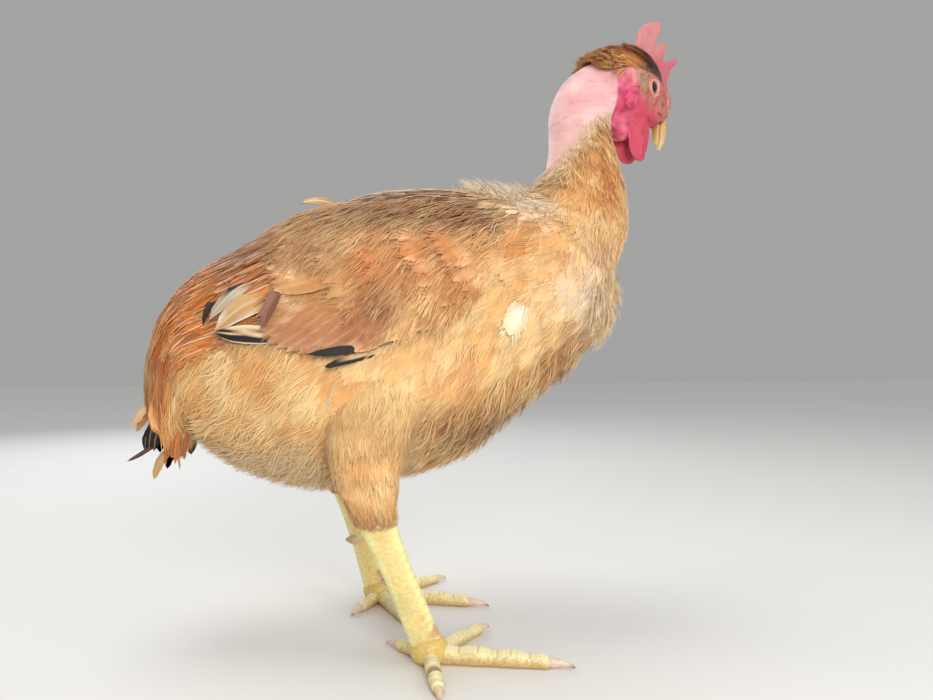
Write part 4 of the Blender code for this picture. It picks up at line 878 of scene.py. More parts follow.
def shank_rings(leg):
    """Ovals from the hock to the ankle with plates in front and behind, and pebbles at the sides."""
    hock, ankle = np.array(leg["hock"], float), np.array(leg["ankle"], float)
    down = (ankle - hock) / np.linalg.norm(ankle - hock)
    side = np.array([0.0, 1.0, 0.0])
    front = np.cross(side, down)
    front *= np.sign(front[0])
    t = np.linspace(-0.1, 1.06, 180)[:, None]
    a = np.linspace(0, 2 * math.pi, 60, endpoint=False)[None]
    depth = np.interp(t, [-0.1, 0, 0.12, 0.3, 0.6, 0.85, 1.06], [11, 12.2, 11.2, 9.8, 9.2, 9.8, 10.4]) - 0.3
    width = np.interp(t, [-0.1, 0, 0.12, 0.3, 0.6, 0.85, 1.06], [8.4, 9.2, 8.0, 6.9, 6.6, 7.4, 8.2]) - 0.3
    ring = (hock + down * 91.6 * t[..., None] + front * (depth * np.cos(a))[..., None]
            + side * (width * np.sin(a))[..., None])
    turn = np.degrees(np.where(a > math.pi, a - 2 * math.pi, a))
    zig = 2.5 * np.sin(t * 2 * math.pi * 15)
    in_front = ease(-np.abs(turn), -58, -50)
    behind = ease(np.abs(turn), 128, 136)
    left_half = turn + zig > 0
    rise, groove = plates(t + 0.5 / 15 * left_half, 15.0)
    middle = np.exp(-((turn + zig) / 3.5) ** 2)
    rise, groove = rise * (1 - middle), np.maximum(groove, middle)
    rise_b, groove_b = plates(t + 0.5 / 19 * (turn > 0), 19.0)
    stones = pebbles(ring.reshape(-1, 3), 2.5, 11).reshape(ring.shape[:2])
    side_on = (1 - in_front) * (1 - behind)
    relief = in_front * rise * 0.75 + behind * rise_b * 0.5 + side_on * 0.55 * (0.6 - stones)
    relief -= 0.25 * np.exp(-((np.abs(turn) - 54) / 4) ** 2)
    dark = np.clip(in_front * groove + behind * groove_b * 0.7 + side_on * ease(stones, 0.45, 0.7) * 0.7, 0, 1)
    out = front * np.cos(a)[..., None] * 0.7 + side * np.sin(a)[..., None]
    ring = ring + out / np.linalg.norm(out, axis=-1, keepdims=True) * relief[..., None]
    flat = ring.reshape(-1, 3)
    # painted highlight: a pale stripe down the front of the shank
    tone = blend(YELLOW, SHANK_HIGHLIGHT, 0.8 * ease(-np.abs(turn + 8 * leg["sign"]), -26, -6) + 0 * t)
    # painted shade: deeper amber on the shank's sides
    tone = blend(tone, AMBER, 0.65 * ease(np.abs(turn), 40, 75) * ease(-np.abs(turn), -150, -110) + 0 * t)
    tone = blend(tone, AMBER, 0.5 * ease(-t, -0.14, -0.02) + 0 * a)
    patch = ease(t, 0.74, 0.86) * ease(clouds(flat, 5, 31), -0.1, 0.4).reshape(t.shape[0], -1) * ease(-np.abs(turn),
                                                                                                      -120, -60)
    tone = blend(tone, paint(190, 92, 60), 0.55 * patch)
    tone = blend(tone, GROOVE, 0.45 * dark)
    tone = tone * (1 + 0.10 * clouds(flat, 7, 8).reshape(t.shape[0], -1))[..., None]
    return rings_to_mesh(ring), tone


def toe_rings(leg, number):
    """A toe flat on the floor: plates on top, pebbles at the sides, swollen pads below each joint."""
    head = math.radians(leg["headings"][number])
    along, across, up = np.array([math.cos(head), math.sin(head), 0]), np.array([-math.sin(head), math.cos(head),
                                                                                 0]), \
        np.array([0, 0, 1.0])
    start = np.array([leg["ankle"][0] + 2.0, leg["ankle"][1], 0.0]) + along * 7.5
    length, half = leg["lengths"][number], (4.6, 5.0, 5.8, 5.0)[number]
    t = np.linspace(-0.12, 1.0, 84)[:, None]
    a = np.linspace(0, 2 * math.pi, 36, endpoint=False)[None]
    joints = (1, 2, 3, 3)[number]
    swell = 1 + 0.08 * np.cos(2 * math.pi * t * joints) - 0.28 * ease(t, 0.93, 1.0) - 0.10 * (1 - ease(t, -0.1, 0.15))
    wide = half * (1 - 0.22 * t) * swell
    high = half * (1.12 - 0.36 * t) * swell
    ring = (start + along * length * t[..., None] + across * (wide * np.sin(a))[..., None]
            + up * (high * 0.86 + high * np.cos(a))[..., None])
    turn = np.degrees(np.where(a > math.pi, a - 2 * math.pi, a))
    rise, groove = plates(t, (6, 12, 17, 11)[number])
    on_top = ease(-np.abs(turn), -62, -54)
    stones = pebbles(ring.reshape(-1, 3), 2.0, 13).reshape(ring.shape[:2])
    relief = on_top * rise * 0.6 + (1 - on_top) * 0.45 * (0.6 - stones)
    out = across * np.sin(a)[..., None] + up * np.cos(a)[..., None]
    ring = ring + out * relief[..., None]
    # painted highlight: a paler stripe along the top of each toe
    tone = blend(paint(242, 230, 172), paint(252, 246, 212), 0.7 * ease(-np.abs(turn), -40, -5) + 0 * t)
    # painted shade: darker orange on the toe's sides
    tone = blend(tone, paint(214, 158, 84), 0.6 * ease(np.abs(turn), 60, 110) + 0 * t)
    dark = on_top * groove + (1 - on_top) * ease(stones, 0.45, 0.7) * 0.6
    tone = blend(tone, paint(160, 116, 74), 0.6 * np.clip(dark, 0, 1))
    if leg["sign"] < 0 and number == 3:
        tone = blend(tone, paint(120, 72, 44), 0.7 * ease(t, 0.42, 0.52) * ease(-t, -0.72, -0.62) + 0 * a)
    ring[..., 2] = np.maximum(ring[..., 2], 0.0)
    tip = start + along * length
    return rings_to_mesh(ring), tone, tip, along, across, high[-1, 0]


def foot_rings(leg):
    """The ball of the foot: a low dome with pebbled skin, flat below."""
    middle = np.array([leg["ankle"][0] + 2.0, leg["ankle"][1], 0.0])
    lean = np.linspace(0.03, math.pi * 0.86, 44)[:, None]
    a = np.linspace(0, 2 * math.pi, 60, endpoint=False)[None]
    r, z = 12.6 * np.sin(lean) ** 0.8, 8.6 + 9.8 * np.cos(lean)
    ring = middle + np.stack([r * np.cos(a), 0.92 * r * np.sin(a), z + 0 * a], -1)
    stones = pebbles(ring.reshape(-1, 3), 2.3, 17).reshape(ring.shape[:2])
    out = np.stack([np.sin(lean) * np.cos(a), np.sin(lean) * np.sin(a), np.cos(lean) + 0 * a], -1)
    ring = ring + out * (0.5 * (0.55 - stones))[..., None]
    ring[..., 2] = np.maximum(ring[..., 2], 0.0)
    tone = blend(paint(230, 200, 112), GROOVE, 0.6 * ease(stones, 0.42, 0.7))
    return rings_to_mesh(ring), tone


def claw_rings(root, along, across, length, radius, height):
    """A claw: a circle that shrinks along an arc which bends down to the floor, deeper than it is wide."""
    t = np.linspace(-0.12, 1.0, 40)[:, None]
    a = np.linspace(0, 2 * math.pi, 28, endpoint=False)[None]
    sweep = math.radians(78) * np.maximum(t, 0)
    ahead = np.where(t < 0, t * length, length * np.sin(sweep) / math.sin(math.radians(78)))
    fall = (height - 0.7) * (1 - np.cos(sweep)) / (1 - math.cos(math.radians(78)))
    thin = radius * (1 - 0.88 * np.maximum(t, 0) ** 1.2)
    up = np.array([0, 0, 1.0])
    lean = 0.9 * np.maximum(t, 0)
    upright = up * np.cos(lean)[..., None] + along * np.sin(lean)[..., None]
    middle = root + along * ahead[..., None] + up * (height - fall)[..., None]
    ring = middle + across * (0.78 * thin * np.cos(a))[..., None] + upright * (thin * np.sin(a))[..., None]
    ring[..., 2] = np.maximum(ring[..., 2], 0.05)
    tone = blend(paint(232, 206, 184), paint(150, 118, 96), ease(t, 0.45, 1.0) + 0 * a)
    tone = tone * (1 + 0.12 * clouds(ring.reshape(-1, 3), 1.8, 3).reshape(ring.shape[:2]))[..., None]
    return rings_to_mesh(ring), tone


def shown_tint(tones):
    """Tints of several ringed forms, with their two end points added."""
    rows = [np.vstack([tone.reshape(-1, 3), tone[0, 0], tone[-1, 0]]) for tone in tones]
    return opaque(np.vstack(rows), DARKEST)


SCALES = tinted("leg scales", 0.36, 1400, 0.14, 0.3, Subsurface_Weight=0.12, Subsurface_Radius=(0.001, 0.0008,
                                                                                                0.0003),
                Subsurface_Scale=1.0, Coat_Weight=0.15, Coat_Roughness=0.3)
for word, leg in LEGS.items():
    forms, tones, claws, claw_tones = [], [], [], []
    for form, tone in (shank_rings(leg), foot_rings(leg)):
        forms.append(form)
        tones.append(tone)
    for number in range(4):
        form, tone, tip, along, across, height = toe_rings(leg, number)
        forms.append(form)
        tones.append(tone)
        form, tone = claw_rings(tip, along, across, (14, 12.5, 16, 12)[number], 3.1 * (1.1 if number == 2 else 0.95),
                                (height + 0.2) * 0.98)
        claws.append(form)
        claw_tones.append(tone)
    hock, ankle = np.array(leg["hock"], float), np.array(leg["ankle"], float)
    out = np.array([-0.86, -leg["sign"] * 0.5, 0.05])
    out /= np.linalg.norm(out)
    t, a = np.linspace(0, 1, 24)[:, None], np.linspace(0, 2 * math.pi, 24, endpoint=False)[None]
    first, second = np.cross(out, [0, 0, 1.0]), np.array([0, 0, 1.0])
    root = hock + (ankle - hock) * 0.56
    thin = 4.2 * np.interp(t, [0, 0.3, 0.7, 0.93, 1], [1, 0.97, 0.66, 0.32, 0.1])
    spur = (root + out * (4 + 12 * t)[..., None] + np.array([0, 0, 1.0]) * (t ** 2)[..., None]
            + first * (thin * np.cos(a))[..., None] + second * (thin * np.sin(a))[..., None])
    claws.append(rings_to_mesh(spur))
    claw_tones.append(blend(paint(226, 196, 150), paint(196, 164, 132), ease(t, 0.2, 1.0) + 0 * a))
    mesh = new_mesh(f"leg_{word}", *join(forms))
    add_tint(mesh, shown_tint(tones))
    show(f"scaled_leg_{word}", mesh, SCALES,
         [f"shank_{word}", f"foot_{word}"] + [f"toe_{word}_{k}" for k in (1, 2, 3, 4)])
    mesh = new_mesh(f"claws_{word}", *join(claws))
    add_tint(mesh, shown_tint(claw_tones))
    show(f"horn_claws_{word}", mesh, HORN, [f"spur_{word}"] + [f"claw_{word}_{k}" for k in (1, 2, 3, 4)])

# %% [markdown]
# ## What a feather is made of
# A feather is a shaft with a thin vane on each side, and the vane is made of fine barbs that lean outward. From
# a step away one sees the outline, a pale shaft, and a silky grain that runs along the barbs. So each vane is
# a closed thin blade of a few faces, and the barbs are drawn by the finish, in the blade's own UV map. Each
# blade also borrows most of its shading from the body below, so that the coat looks soft and not like tiles.

# %% Vanes
LONG = np.array([(0, .35), (.15, .7), (.32, .92), (.5, 1), (.68, .98), (.82, .84), (.93, .56), (1, 0)])
LEAF = np.array([(0, .45), (.25, .85), (.52, 1), (.78, .82), (.92, .48), (1, 0)])
HACKLE = np.array([(0, .5), (.2, .9), (.45, 1), (.7, .78), (.88, .42), (1, 0)])
BARB = np.array([(0, .9), (.45, 1), (1, 0)])
HAIR = np.array([(0, .8), (.3, 1), (.65, .75), (1, 0)])


def wrapped(angle):
    return (np.asarray(angle) + 180) % 360 - 180


def unit(vectors):
    return vectors / np.maximum(np.linalg.norm(vectors, axis=-1, keepdims=True), 1e-9)


def lay(form, s, angle, length, swerve, low, high, shares, bend=1.4):
    """Shafts on a form: from (s, angle) they run on along it for length, swerve sideways, and rise from the
    lift low to the lift high, which they reach at four fifths of the way."""
    s, angle, length, swerve, low, high = np.broadcast_arrays(*(np.asarray(v, float) for v in
                                                               (s, angle, length, swerve, low, high)))
    t = np.asarray(shares, float)[None]
    pace_s, pace_a = form.pace(s, angle)
    halfway, _ = form.pace(np.clip(s + 0.5 * length / pace_s, 0, len(form.rows) - 1.2), angle)
    places = s[:, None] + (length / (0.4 * pace_s + 0.6 * halfway))[:, None] * t
    turned = angle[:, None] + (swerve / pace_a)[:, None] * t ** bend
    lift = low[:, None] + (high - low)[:, None] * np.minimum(1, 1.25 * t)
    normal = form.normal(places, turned)
    return form.bare(places, turned) + normal * lift[..., None], normal


def fall(form, s, angle):
    """How far feathers turn from the body's length down towards the belly, in radians and signed by the side."""
    over = np.abs(wrapped(angle))
    down = np.interp(s, [7, 9, 11, 13, 14.5, 16, 17, 18.5], [5, 12, 26, 38, 54, 50, 22, 6])
    down = down * np.interp(over, [0, 20, 60, 110, 150, 180], [0, 0.45, 0.9, 1.0, 0.6, 0.0])
    return np.radians(down) * np.sign(wrapped(angle)) * (form is BODY)


def template(rows, loop):
    """Faces of one vane: quads between its rings, a closed root, and a fan to the tip."""
    here = np.arange(rows * loop).reshape(rows, loop)
    after = np.roll(here, -1, axis=1)
    quads = np.stack([here[:-1], after[:-1], after[1:], here[1:]], -1).reshape(-1, 4)
    cap = np.stack([here[0, :1].repeat(loop - 2), here[0, 2:], here[0, 1:-1]], -1)
    tip = np.stack([here[-1], after[-1], np.full(loop, rows * loop)], -1)
    return quads, np.vstack([cap, tip])


def vanes(path, normal, half, shape, inner, outer, streak, place, columns=3, thick=0.30, tilt=0.0, camber=0.16,
          ragged=0.0, seed=0, marks=None, curve=0.35, trust=0.65, soft=True):
    """Blades along shafts: edge = shaft +- half width * shape, lowered by the camber, flat below.

    The inner colour turns to the outer one towards the rim and tip. place is the root's (u, v) on the unwrap.
    Shading directions mix the form's own (trust), the blade's, and a slight roundness across it (curve).
    """
    n, k = path.shape[:2]
    chance = np.random.default_rng(seed)
    along = unit(np.gradient(path, axis=1))
    across = unit(np.cross(along, normal))
    up = np.cross(across, along)
    tilt = np.broadcast_to(np.asarray(tilt, float), (n,))[:, None, None]
    across, up = across * np.cos(tilt) + up * np.sin(tilt), up * np.cos(tilt) - across * np.sin(tilt)
    u = np.linspace(-1, 1, columns)
    width = np.broadcast_to(np.asarray(half, float), (n,))[:, None, None] * shape[None, :-1, 1:2]
    torn = 1 + ragged * (chance.random((n, k - 1, columns)) - 0.7) * (np.abs(u) > 0.99)
    flank = u * width * torn
    lift = thick * (1 - u ** 2) * (1.15 - 0.6 * shape[None, :-1, 0:1]) - camber * np.abs(u) ** 1.6 * width
    pull = -0.55 * np.abs(u) ** 2 * width * ease(shape[None, :-1, 0:1], 0.6, 1.0) * (columns > 3)
    points = (path[:, :-1, None] + across[:, :-1, None] * flank[..., None] + up[:, :-1, None] * lift[..., None]
              + along[:, :-1, None] * np.broadcast_to(pull, (n, k - 1, columns))[..., None])
    points = np.concatenate([points.reshape(n, -1, 3), path[:, -1:]], axis=1)
    shade = unit(normal * trust + up * (1 - trust))
    shading = unit(shade[:, :-1, None] + across[:, :-1, None] * (curve * u)[:, None]).reshape(n, -1, 3)
    shading = np.concatenate([shading, shade[:, -1:]], axis=1) + [0, 0, 0.25]      # light scatters up from below
    shading = shading * float(soft)                                                # zero: the mesh's own
    v = shape[:, 0]
    uv = np.stack(np.broadcast_arrays((u + 1)[None] / 2, v[:-1, None]), -1).reshape(-1, 2)
    uv = np.vstack([uv, [0.5, 1.0]])
    rim = np.clip(0.62 * np.abs(uv[:, 0] * 2 - 1) ** 2 + ease(uv[:, 1], 0.35, 1.0) ** 1.5, 0, 1)
    tint = inner[:, None] * (1 - rim[None, :, None]) + outer[:, None] * rim[None, :, None]
    if marks is not None:
        tint = marks(tint, uv[:, 0] * 2 - 1, uv[:, 1], points)
    streak = np.broadcast_to(np.asarray(streak, float), (n,))[:, None, None]
    tint = np.concatenate([np.clip(tint, DARKEST, 1), np.broadcast_to(streak, tint.shape[:2] + (1,))], -1)
    bake = place[:, None] + 0.003 * (uv[None] - 0.5)
    quads, tris = template(k - 1, columns)
    step = (np.arange(n) * ((k - 1) * columns + 1))[:, None, None]
    return (points.reshape(-1, 3), (quads[None] + step).reshape(-1, 4), (tris[None] + step).reshape(-1, 3),
            np.broadcast_to(uv[None], (n,) + uv.shape).reshape(-1, 2), bake.reshape(-1, 2), tint.reshape(-1, 4),
            shading.reshape(-1, 3))


def rims(path, normal, half, shape, tone, count, long, place, seed, fan=0.5, pale=0.4, width=0.36):
    """Barbs that leave a blade near its rim and pass it: outward by fan, along the shaft, for length long."""
    chance = np.random.default_rng(seed)
    n, k = path.shape[:2]
    i = np.repeat(np.arange(n), count)
    part = 0.12 + 0.86 * chance.random(len(i)) ** 0.8
    at = np.interp(part, shape[:, 0], np.arange(k))
    whole = np.minimum(at.astype(int), k - 2)
    rest = (at - whole)[:, None]
    spot = path[i, whole] * (1 - rest) + path[i, whole + 1] * rest
    up = normal[i, whole]
    along = unit(path[i, whole + 1] - path[i, whole])
    across = unit(np.cross(along, up))
    side = chance.choice([-1.0, 1.0], len(i))
    out = side * chance.uniform(0.3, 0.9, len(i)) * np.broadcast_to(half, (n,))[i] * np.interp(part, shape[:, 0],
                                                                                               shape[:, 1])
    lean = side * fan * chance.uniform(0.2, 1.2, len(i))
    way = along * np.cos(lean)[:, None] + across * np.sin(lean)[:, None]
    span = long * chance.uniform(0.6, 1.3, len(i))
    t = BARB[:, 0][None, :, None]
    start = spot + across * out[:, None] + up * 0.25
    barb = start[:, None] + way[:, None] * span[:, None, None] * t - up[:, None] * 0.5 * t ** 2
    inner = tone(spot) * chance.uniform(0.93, 1.05, (len(i), 1))
    outer = blend(inner, paint(255, 232, 190), pale * chance.random(len(i)))
    return vanes(barb, np.broadcast_to(up[:, None], barb.shape), width * chance.uniform(0.7, 1.3, len(i)), BARB,
                 inner, outer,
                 0.0, place[i], thick=0.14, camber=0.1, seed=seed)


def coat_piece(name, chunks, material, nodes=()):
    """One piece of coat from several sets of vanes, with both UV maps, the tint and the soft shading."""
    points, quads, tris = join([chunk[:3] for chunk in chunks])
    mesh = new_mesh(name, points, quads, tris)
    add_uv(mesh, "OFBake", np.vstack([chunk[4] for chunk in chunks]))
    add_uv(mesh, "Vane", np.vstack([chunk[3] for chunk in chunks]))
    add_tint(mesh, np.vstack([chunk[5] for chunk in chunks]))
    mesh.normals_split_custom_set_from_vertices(np.vstack([chunk[6] for chunk in chunks]).tolist())
    return show(name, mesh, material, nodes)


# %% [markdown]
# ## Where feathers grow
# Feathers are spread evenly over the skin, so their roots are drawn by how much skin a place covers, and then
# thinned to one for each small cube of space. Each root also has a place on an unwrap of the body: how far
# along, and the angle, so that tufts from one spot share their patch.

# %% Roots
def scatter(form, low, high, spacing, seed, keep, many=60000):
    """Random roots by area, kept where keep(s, angle) allows, then one for each cube of the spacing."""
    chance = np.random.default_rng(seed)
    s, angle = chance.uniform(low, high, many), chance.uniform(-180, 180, many)
    pace_s, pace_a = form.pace(s, angle)
    area = pace_s * pace_a
    chosen = (chance.random(many) < area / np.quantile(area, 0.98)) & (chance.random(many) < keep(s, angle))
    s, angle = s[chosen], angle[chosen]
    if spacing:
        cells = np.floor(form.bare(s, angle) / spacing + 0.37).astype(int)
        _, first = np.unique(cells, axis=0, return_index=True)
        s, angle = s[first], angle[first]
    return s, angle


def on_unwrap(s, angle, last=21.0):
    """The root's place on the unwrap: along the body, and round it."""
    return np.stack([0.02 + 0.96 * s / last, 0.02 + 0.96 * (np.asarray(angle) + 180) % 360 / 360], -1)


def feather_finish(name, roughness, shine, barb, streak_colour, sheen):
    """Tint times barbs, a pale shaft where the streak asks for it, and a bump from the barbs."""
    made, tree, shader = finish(name, roughness, Sheen_Weight=sheen, Sheen_Roughness=0.4, Specular_IOR_Level=shine)
    tint = node(tree, "ShaderNodeAttribute", attribute_name="Tint")
    barbs = node(tree, "ShaderNodeGroup", [("Color", tint, "Color"), ("Streak", tint, "Alpha")], node_tree=BARBS)
    barbs.inputs["Shaft"].default_value = (*streak_colour, 1)
    barbs.inputs["Amount"].default_value = barb
    tree.links.new(barbs.outputs["Color"], shader.inputs["Base Color"])
    relief = node(tree, "ShaderNodeBump", [("Height", barbs, "Height")])
    relief.inputs["Strength"].default_value, relief.inputs["Distance"].default_value = 0.35, 0.0003
    tree.links.new(relief.outputs["Normal"], shader.inputs["Normal"])
    return made


def barb_group():
    """Barbs lean from the shaft to the rim: a noise stretched along lines of constant v - 0.9 |u|."""
    tree = group("barbs", [("Color", "Color", (1, 1, 1, 1)), ("Streak", "Float", 0.0),
                           ("Shaft", "Color", (1, 1, 1, 1)), ("Amount", "Float", 0.3)],
                 [("Color", "Color"), ("Height", "Float")])
    start, end = tree.nodes["in"], tree.nodes["out"]
    uv = node(tree, "ShaderNodeUVMap", uv_map="Vane")
    apart = node(tree, "ShaderNodeSeparateXYZ", [(0, uv, "UV")])
    off = node(tree, "ShaderNodeMath", [(0, apart, 0)], operation="SUBTRACT", at_1=0.5)
    off = node(tree, "ShaderNodeMath", [(0, off, 0)], operation="ABSOLUTE")
    lean = node(tree, "ShaderNodeMath", [(0, off, 0)], operation="MULTIPLY", at_1=0.9)
    row = node(tree, "ShaderNodeMath", [(0, apart, 1), (1, lean, 0)], operation="SUBTRACT")
    row = node(tree, "ShaderNodeMath", [(0, row, 0)], operation="MULTIPLY", at_1=26.0)
    place = node(tree, "ShaderNodeTexCoord")
    where = node(tree, "ShaderNodeVectorMath", [(0, place, "Object")], operation="SCALE")
    where.inputs["Scale"].default_value = 60.0
    mix = node(tree, "ShaderNodeSeparateXYZ", [(0, where, 0)])
    lines = node(tree, "ShaderNodeCombineXYZ", [("X", row, 0), ("Y", mix, "X"), ("Z", mix, "Z")])
    noise = node(tree, "ShaderNodeTexNoise", [("Vector", lines, 0)])
    noise.inputs["Scale"].default_value, noise.inputs["Detail"].default_value = 1.6, 4
    centred = node(tree, "ShaderNodeMath", [(0, noise, "Fac")], operation="SUBTRACT", at_1=0.5)
    swing = node(tree, "ShaderNodeMath", [(0, centred, 0), (1, start, "Amount")], operation="MULTIPLY")
    bright = node(tree, "ShaderNodeMath", [(0, swing, 0)], operation="MULTIPLY_ADD", at_1=2.0, at_2=1.0)
    colour = node(tree, "ShaderNodeVectorMath", [(0, start, "Color"), ("Scale", bright, 0)], operation="SCALE")
    shaft = node(tree, "ShaderNodeMapRange", [(0, off, 0)], interpolation_type="SMOOTHSTEP")
    for socket, value in (("From Min", 0.0), ("From Max", 0.13), ("To Min", 1.0), ("To Max", 0.0)):
        shaft.inputs[socket].default_value = value
    share = node(tree, "ShaderNodeMath", [(0, shaft, 0), (1, start, "Streak")], operation="MULTIPLY")
    mixed = node(tree, "ShaderNodeMix", [("Factor", share, 0)], data_type="RGBA")
    tree.links.new(colour.outputs[0], mixed.inputs["A"])
    tree.links.new(start.outputs["Shaft"], mixed.inputs["B"])
    tree.links.new(mixed.outputs["Result"], end.inputs["Color"])
    tree.links.new(noise.outputs["Fac"], end.inputs["Height"])
    return tree


BARBS = barb_group()
SOFT = feather_finish("soft feather", 0.75, 0.2, 0.22, paint(255, 238, 200), 0.25)
GLOSSY = feather_finish("glossy hackle", 0.5, 0.25, 0.30, paint(255, 236, 206), 0.0)
FLIGHT = feather_finish("flight feather", 0.55, 0.3, 0.25, paint(250, 214, 168), 0.15)

# %% [markdown]
# ## Colours of the coat
# The coat is golden buff, darker and redder along the back, paler over the crop and the belly. A painter would
# lay a ground colour and then soft patches, so a short table lists patches by their middle and reach as seen
# from the side, and each fades out like a bell curve. Feathers and the fine barbs over them read the same table.

# %% Patches of the coat
PATCHES = [   # x, z, reach along x, reach along z, colour, strength; mm on the bench
    (147, 243, 22, 25, paint(249, 228, 206), 1.00),      # over the crop
    # partly painted shade: the breast's underside is darker brown, partly its own colour and partly shade
    (146, 202, 38, 24, paint(158, 96, 54), 1.00),       # below it
    (164, 322, 9, 36, paint(200, 118, 58), 0.80),        # rufous strip down the neck
    (190, 318, 8, 34, paint(250, 230, 198), 0.60),       # pale front edge of the neck
    (130, 300, 18, 20, paint(252, 196, 128), 0.75),      # gold at the foot of the neck
    (96, 272, 26, 20, paint(214, 138, 76), 0.70),        # shoulder
    (100, 222, 34, 24, paint(252, 212, 148), 0.55),      # lower breast
    (30, 200, 18, 10, paint(222, 138, 72), 0.50),        # orange below the wing
    (12, 172, 34, 14, paint(252, 208, 138), 0.50),       # light flank
    (94, 228, 7, 8, paint(255, 242, 218), 0.95),         # one pale feather on the breast
    (-70, 132, 84, 26, paint(232, 186, 130), 0.80),      # fluff under the belly
    # partly painted shade: the belly before the legs is darker brown, partly its own colour and partly shade
    (72, 148, 60, 18, paint(138, 82, 46), 1.00),        # belly before the legs
]


def coat_colours(points, s, angle):
    """The buff ground, cloudy, with the back, the bib's upper hem and the patches laid over it."""
    x, z = points[:, 0], points[:, 2]
    off = 180 - np.abs(wrapped(angle))
    over = 180 - off                                     # 0 on the back, 180 under the belly
    broad, middling, fine = clouds(points, 21, 51), clouds(points, 13, 53), clouds(points, 6, 52)
    tone = blend(paint(238, 176, 106), paint(250, 204, 138), ease(broad, -0.5, 0.6))
    tone = blend(tone, paint(224, 146, 82), 0.7 * ease(middling, -0.2, 0.6))
    tone = blend(tone, paint(255, 222, 168), 0.55 * ease(-middling, 0.0, 0.65))
    for px, pz, reach_x, reach_z, colour, strength in PATCHES:
        reach = np.exp(-((x - px) / reach_x) ** 2 - ((z - pz) / reach_z) ** 2)
        tone = blend(tone, colour, np.clip(strength * reach * (1 + 0.6 * middling + 0.5 * fine), 0, 1))
    on_back = ease(-over, -78, -56) * ease(s, 7.6, 9.2)
    tone = blend(tone, paint(96, 44, 24), 0.95 * on_back)
    tone = blend(tone, paint(166, 100, 56), 0.5 * on_back * ease(fine, 0.1, 0.5))
    collar = ease(-np.abs(s - 7.0), -1.2, -0.4) * ease(-over, -80, -45)
    tone = blend(tone, paint(246, 230, 208), 0.8 * collar)
    tone = blend(tone, paint(204, 148, 94), 0.85 * ease(bib_line(off) + 1.2 - s, 0.0, 0.9) * (s < 7))
    return tone * (1 + 0.03 * fine)[:, None]


def wing_seat(x, z):
    """How far the folded wing stands off the flank at (x, z): a low dome with an oval outline."""
    turn = math.radians(12)
    dx, dz = x - 25.0, z - 251.0
    u, v = (dx * math.cos(turn) + dz * math.sin(turn)) / 46, (dz * math.cos(turn) - dx * math.sin(turn)) / 31
    return 6.5 * np.maximum(0.0, 1 - u * u - v * v)


def under_wing(points):
    """1 where the folded wing hides the coat."""
    x, z = points[:, 0], points[:, 2]
    low = np.interp(x, [-100, -60, 0, 40, 62], [226, 212, 214, 232, 250])
    high = np.interp(x, [-100, -60, 0, 40, 62], [232, 262, 276, 272, 262])
    return ease(z - low, 0, 8) * ease(high - z, 0, 8) * (np.abs(points[:, 1]) > 30)


# %% [markdown]
# ## Contour feathers of neck, breast, back and flanks
# Rounded feathers, each about 3 cm long, overlap like tiles from the throat to the rump. Every one starts under
# its neighbours and ends above them, which the lift along the shaft gives for nothing. Their rims are loose: over
# them lie plumes, each a bundle of barbs that leave one shaft and lean out, which gives the coat its softness.

# %% The body's coat
def varied(tone, shift):
    """Each feather's tone: towards straw where its shift is above zero, darker and redder where it is below."""
    straw, dim = paint(255, 228, 174), paint(232, 190, 150)
    return blend(blend(tone, straw, np.clip(shift, 0, 1)), tone * dim, np.clip(-shift, 0, 1))


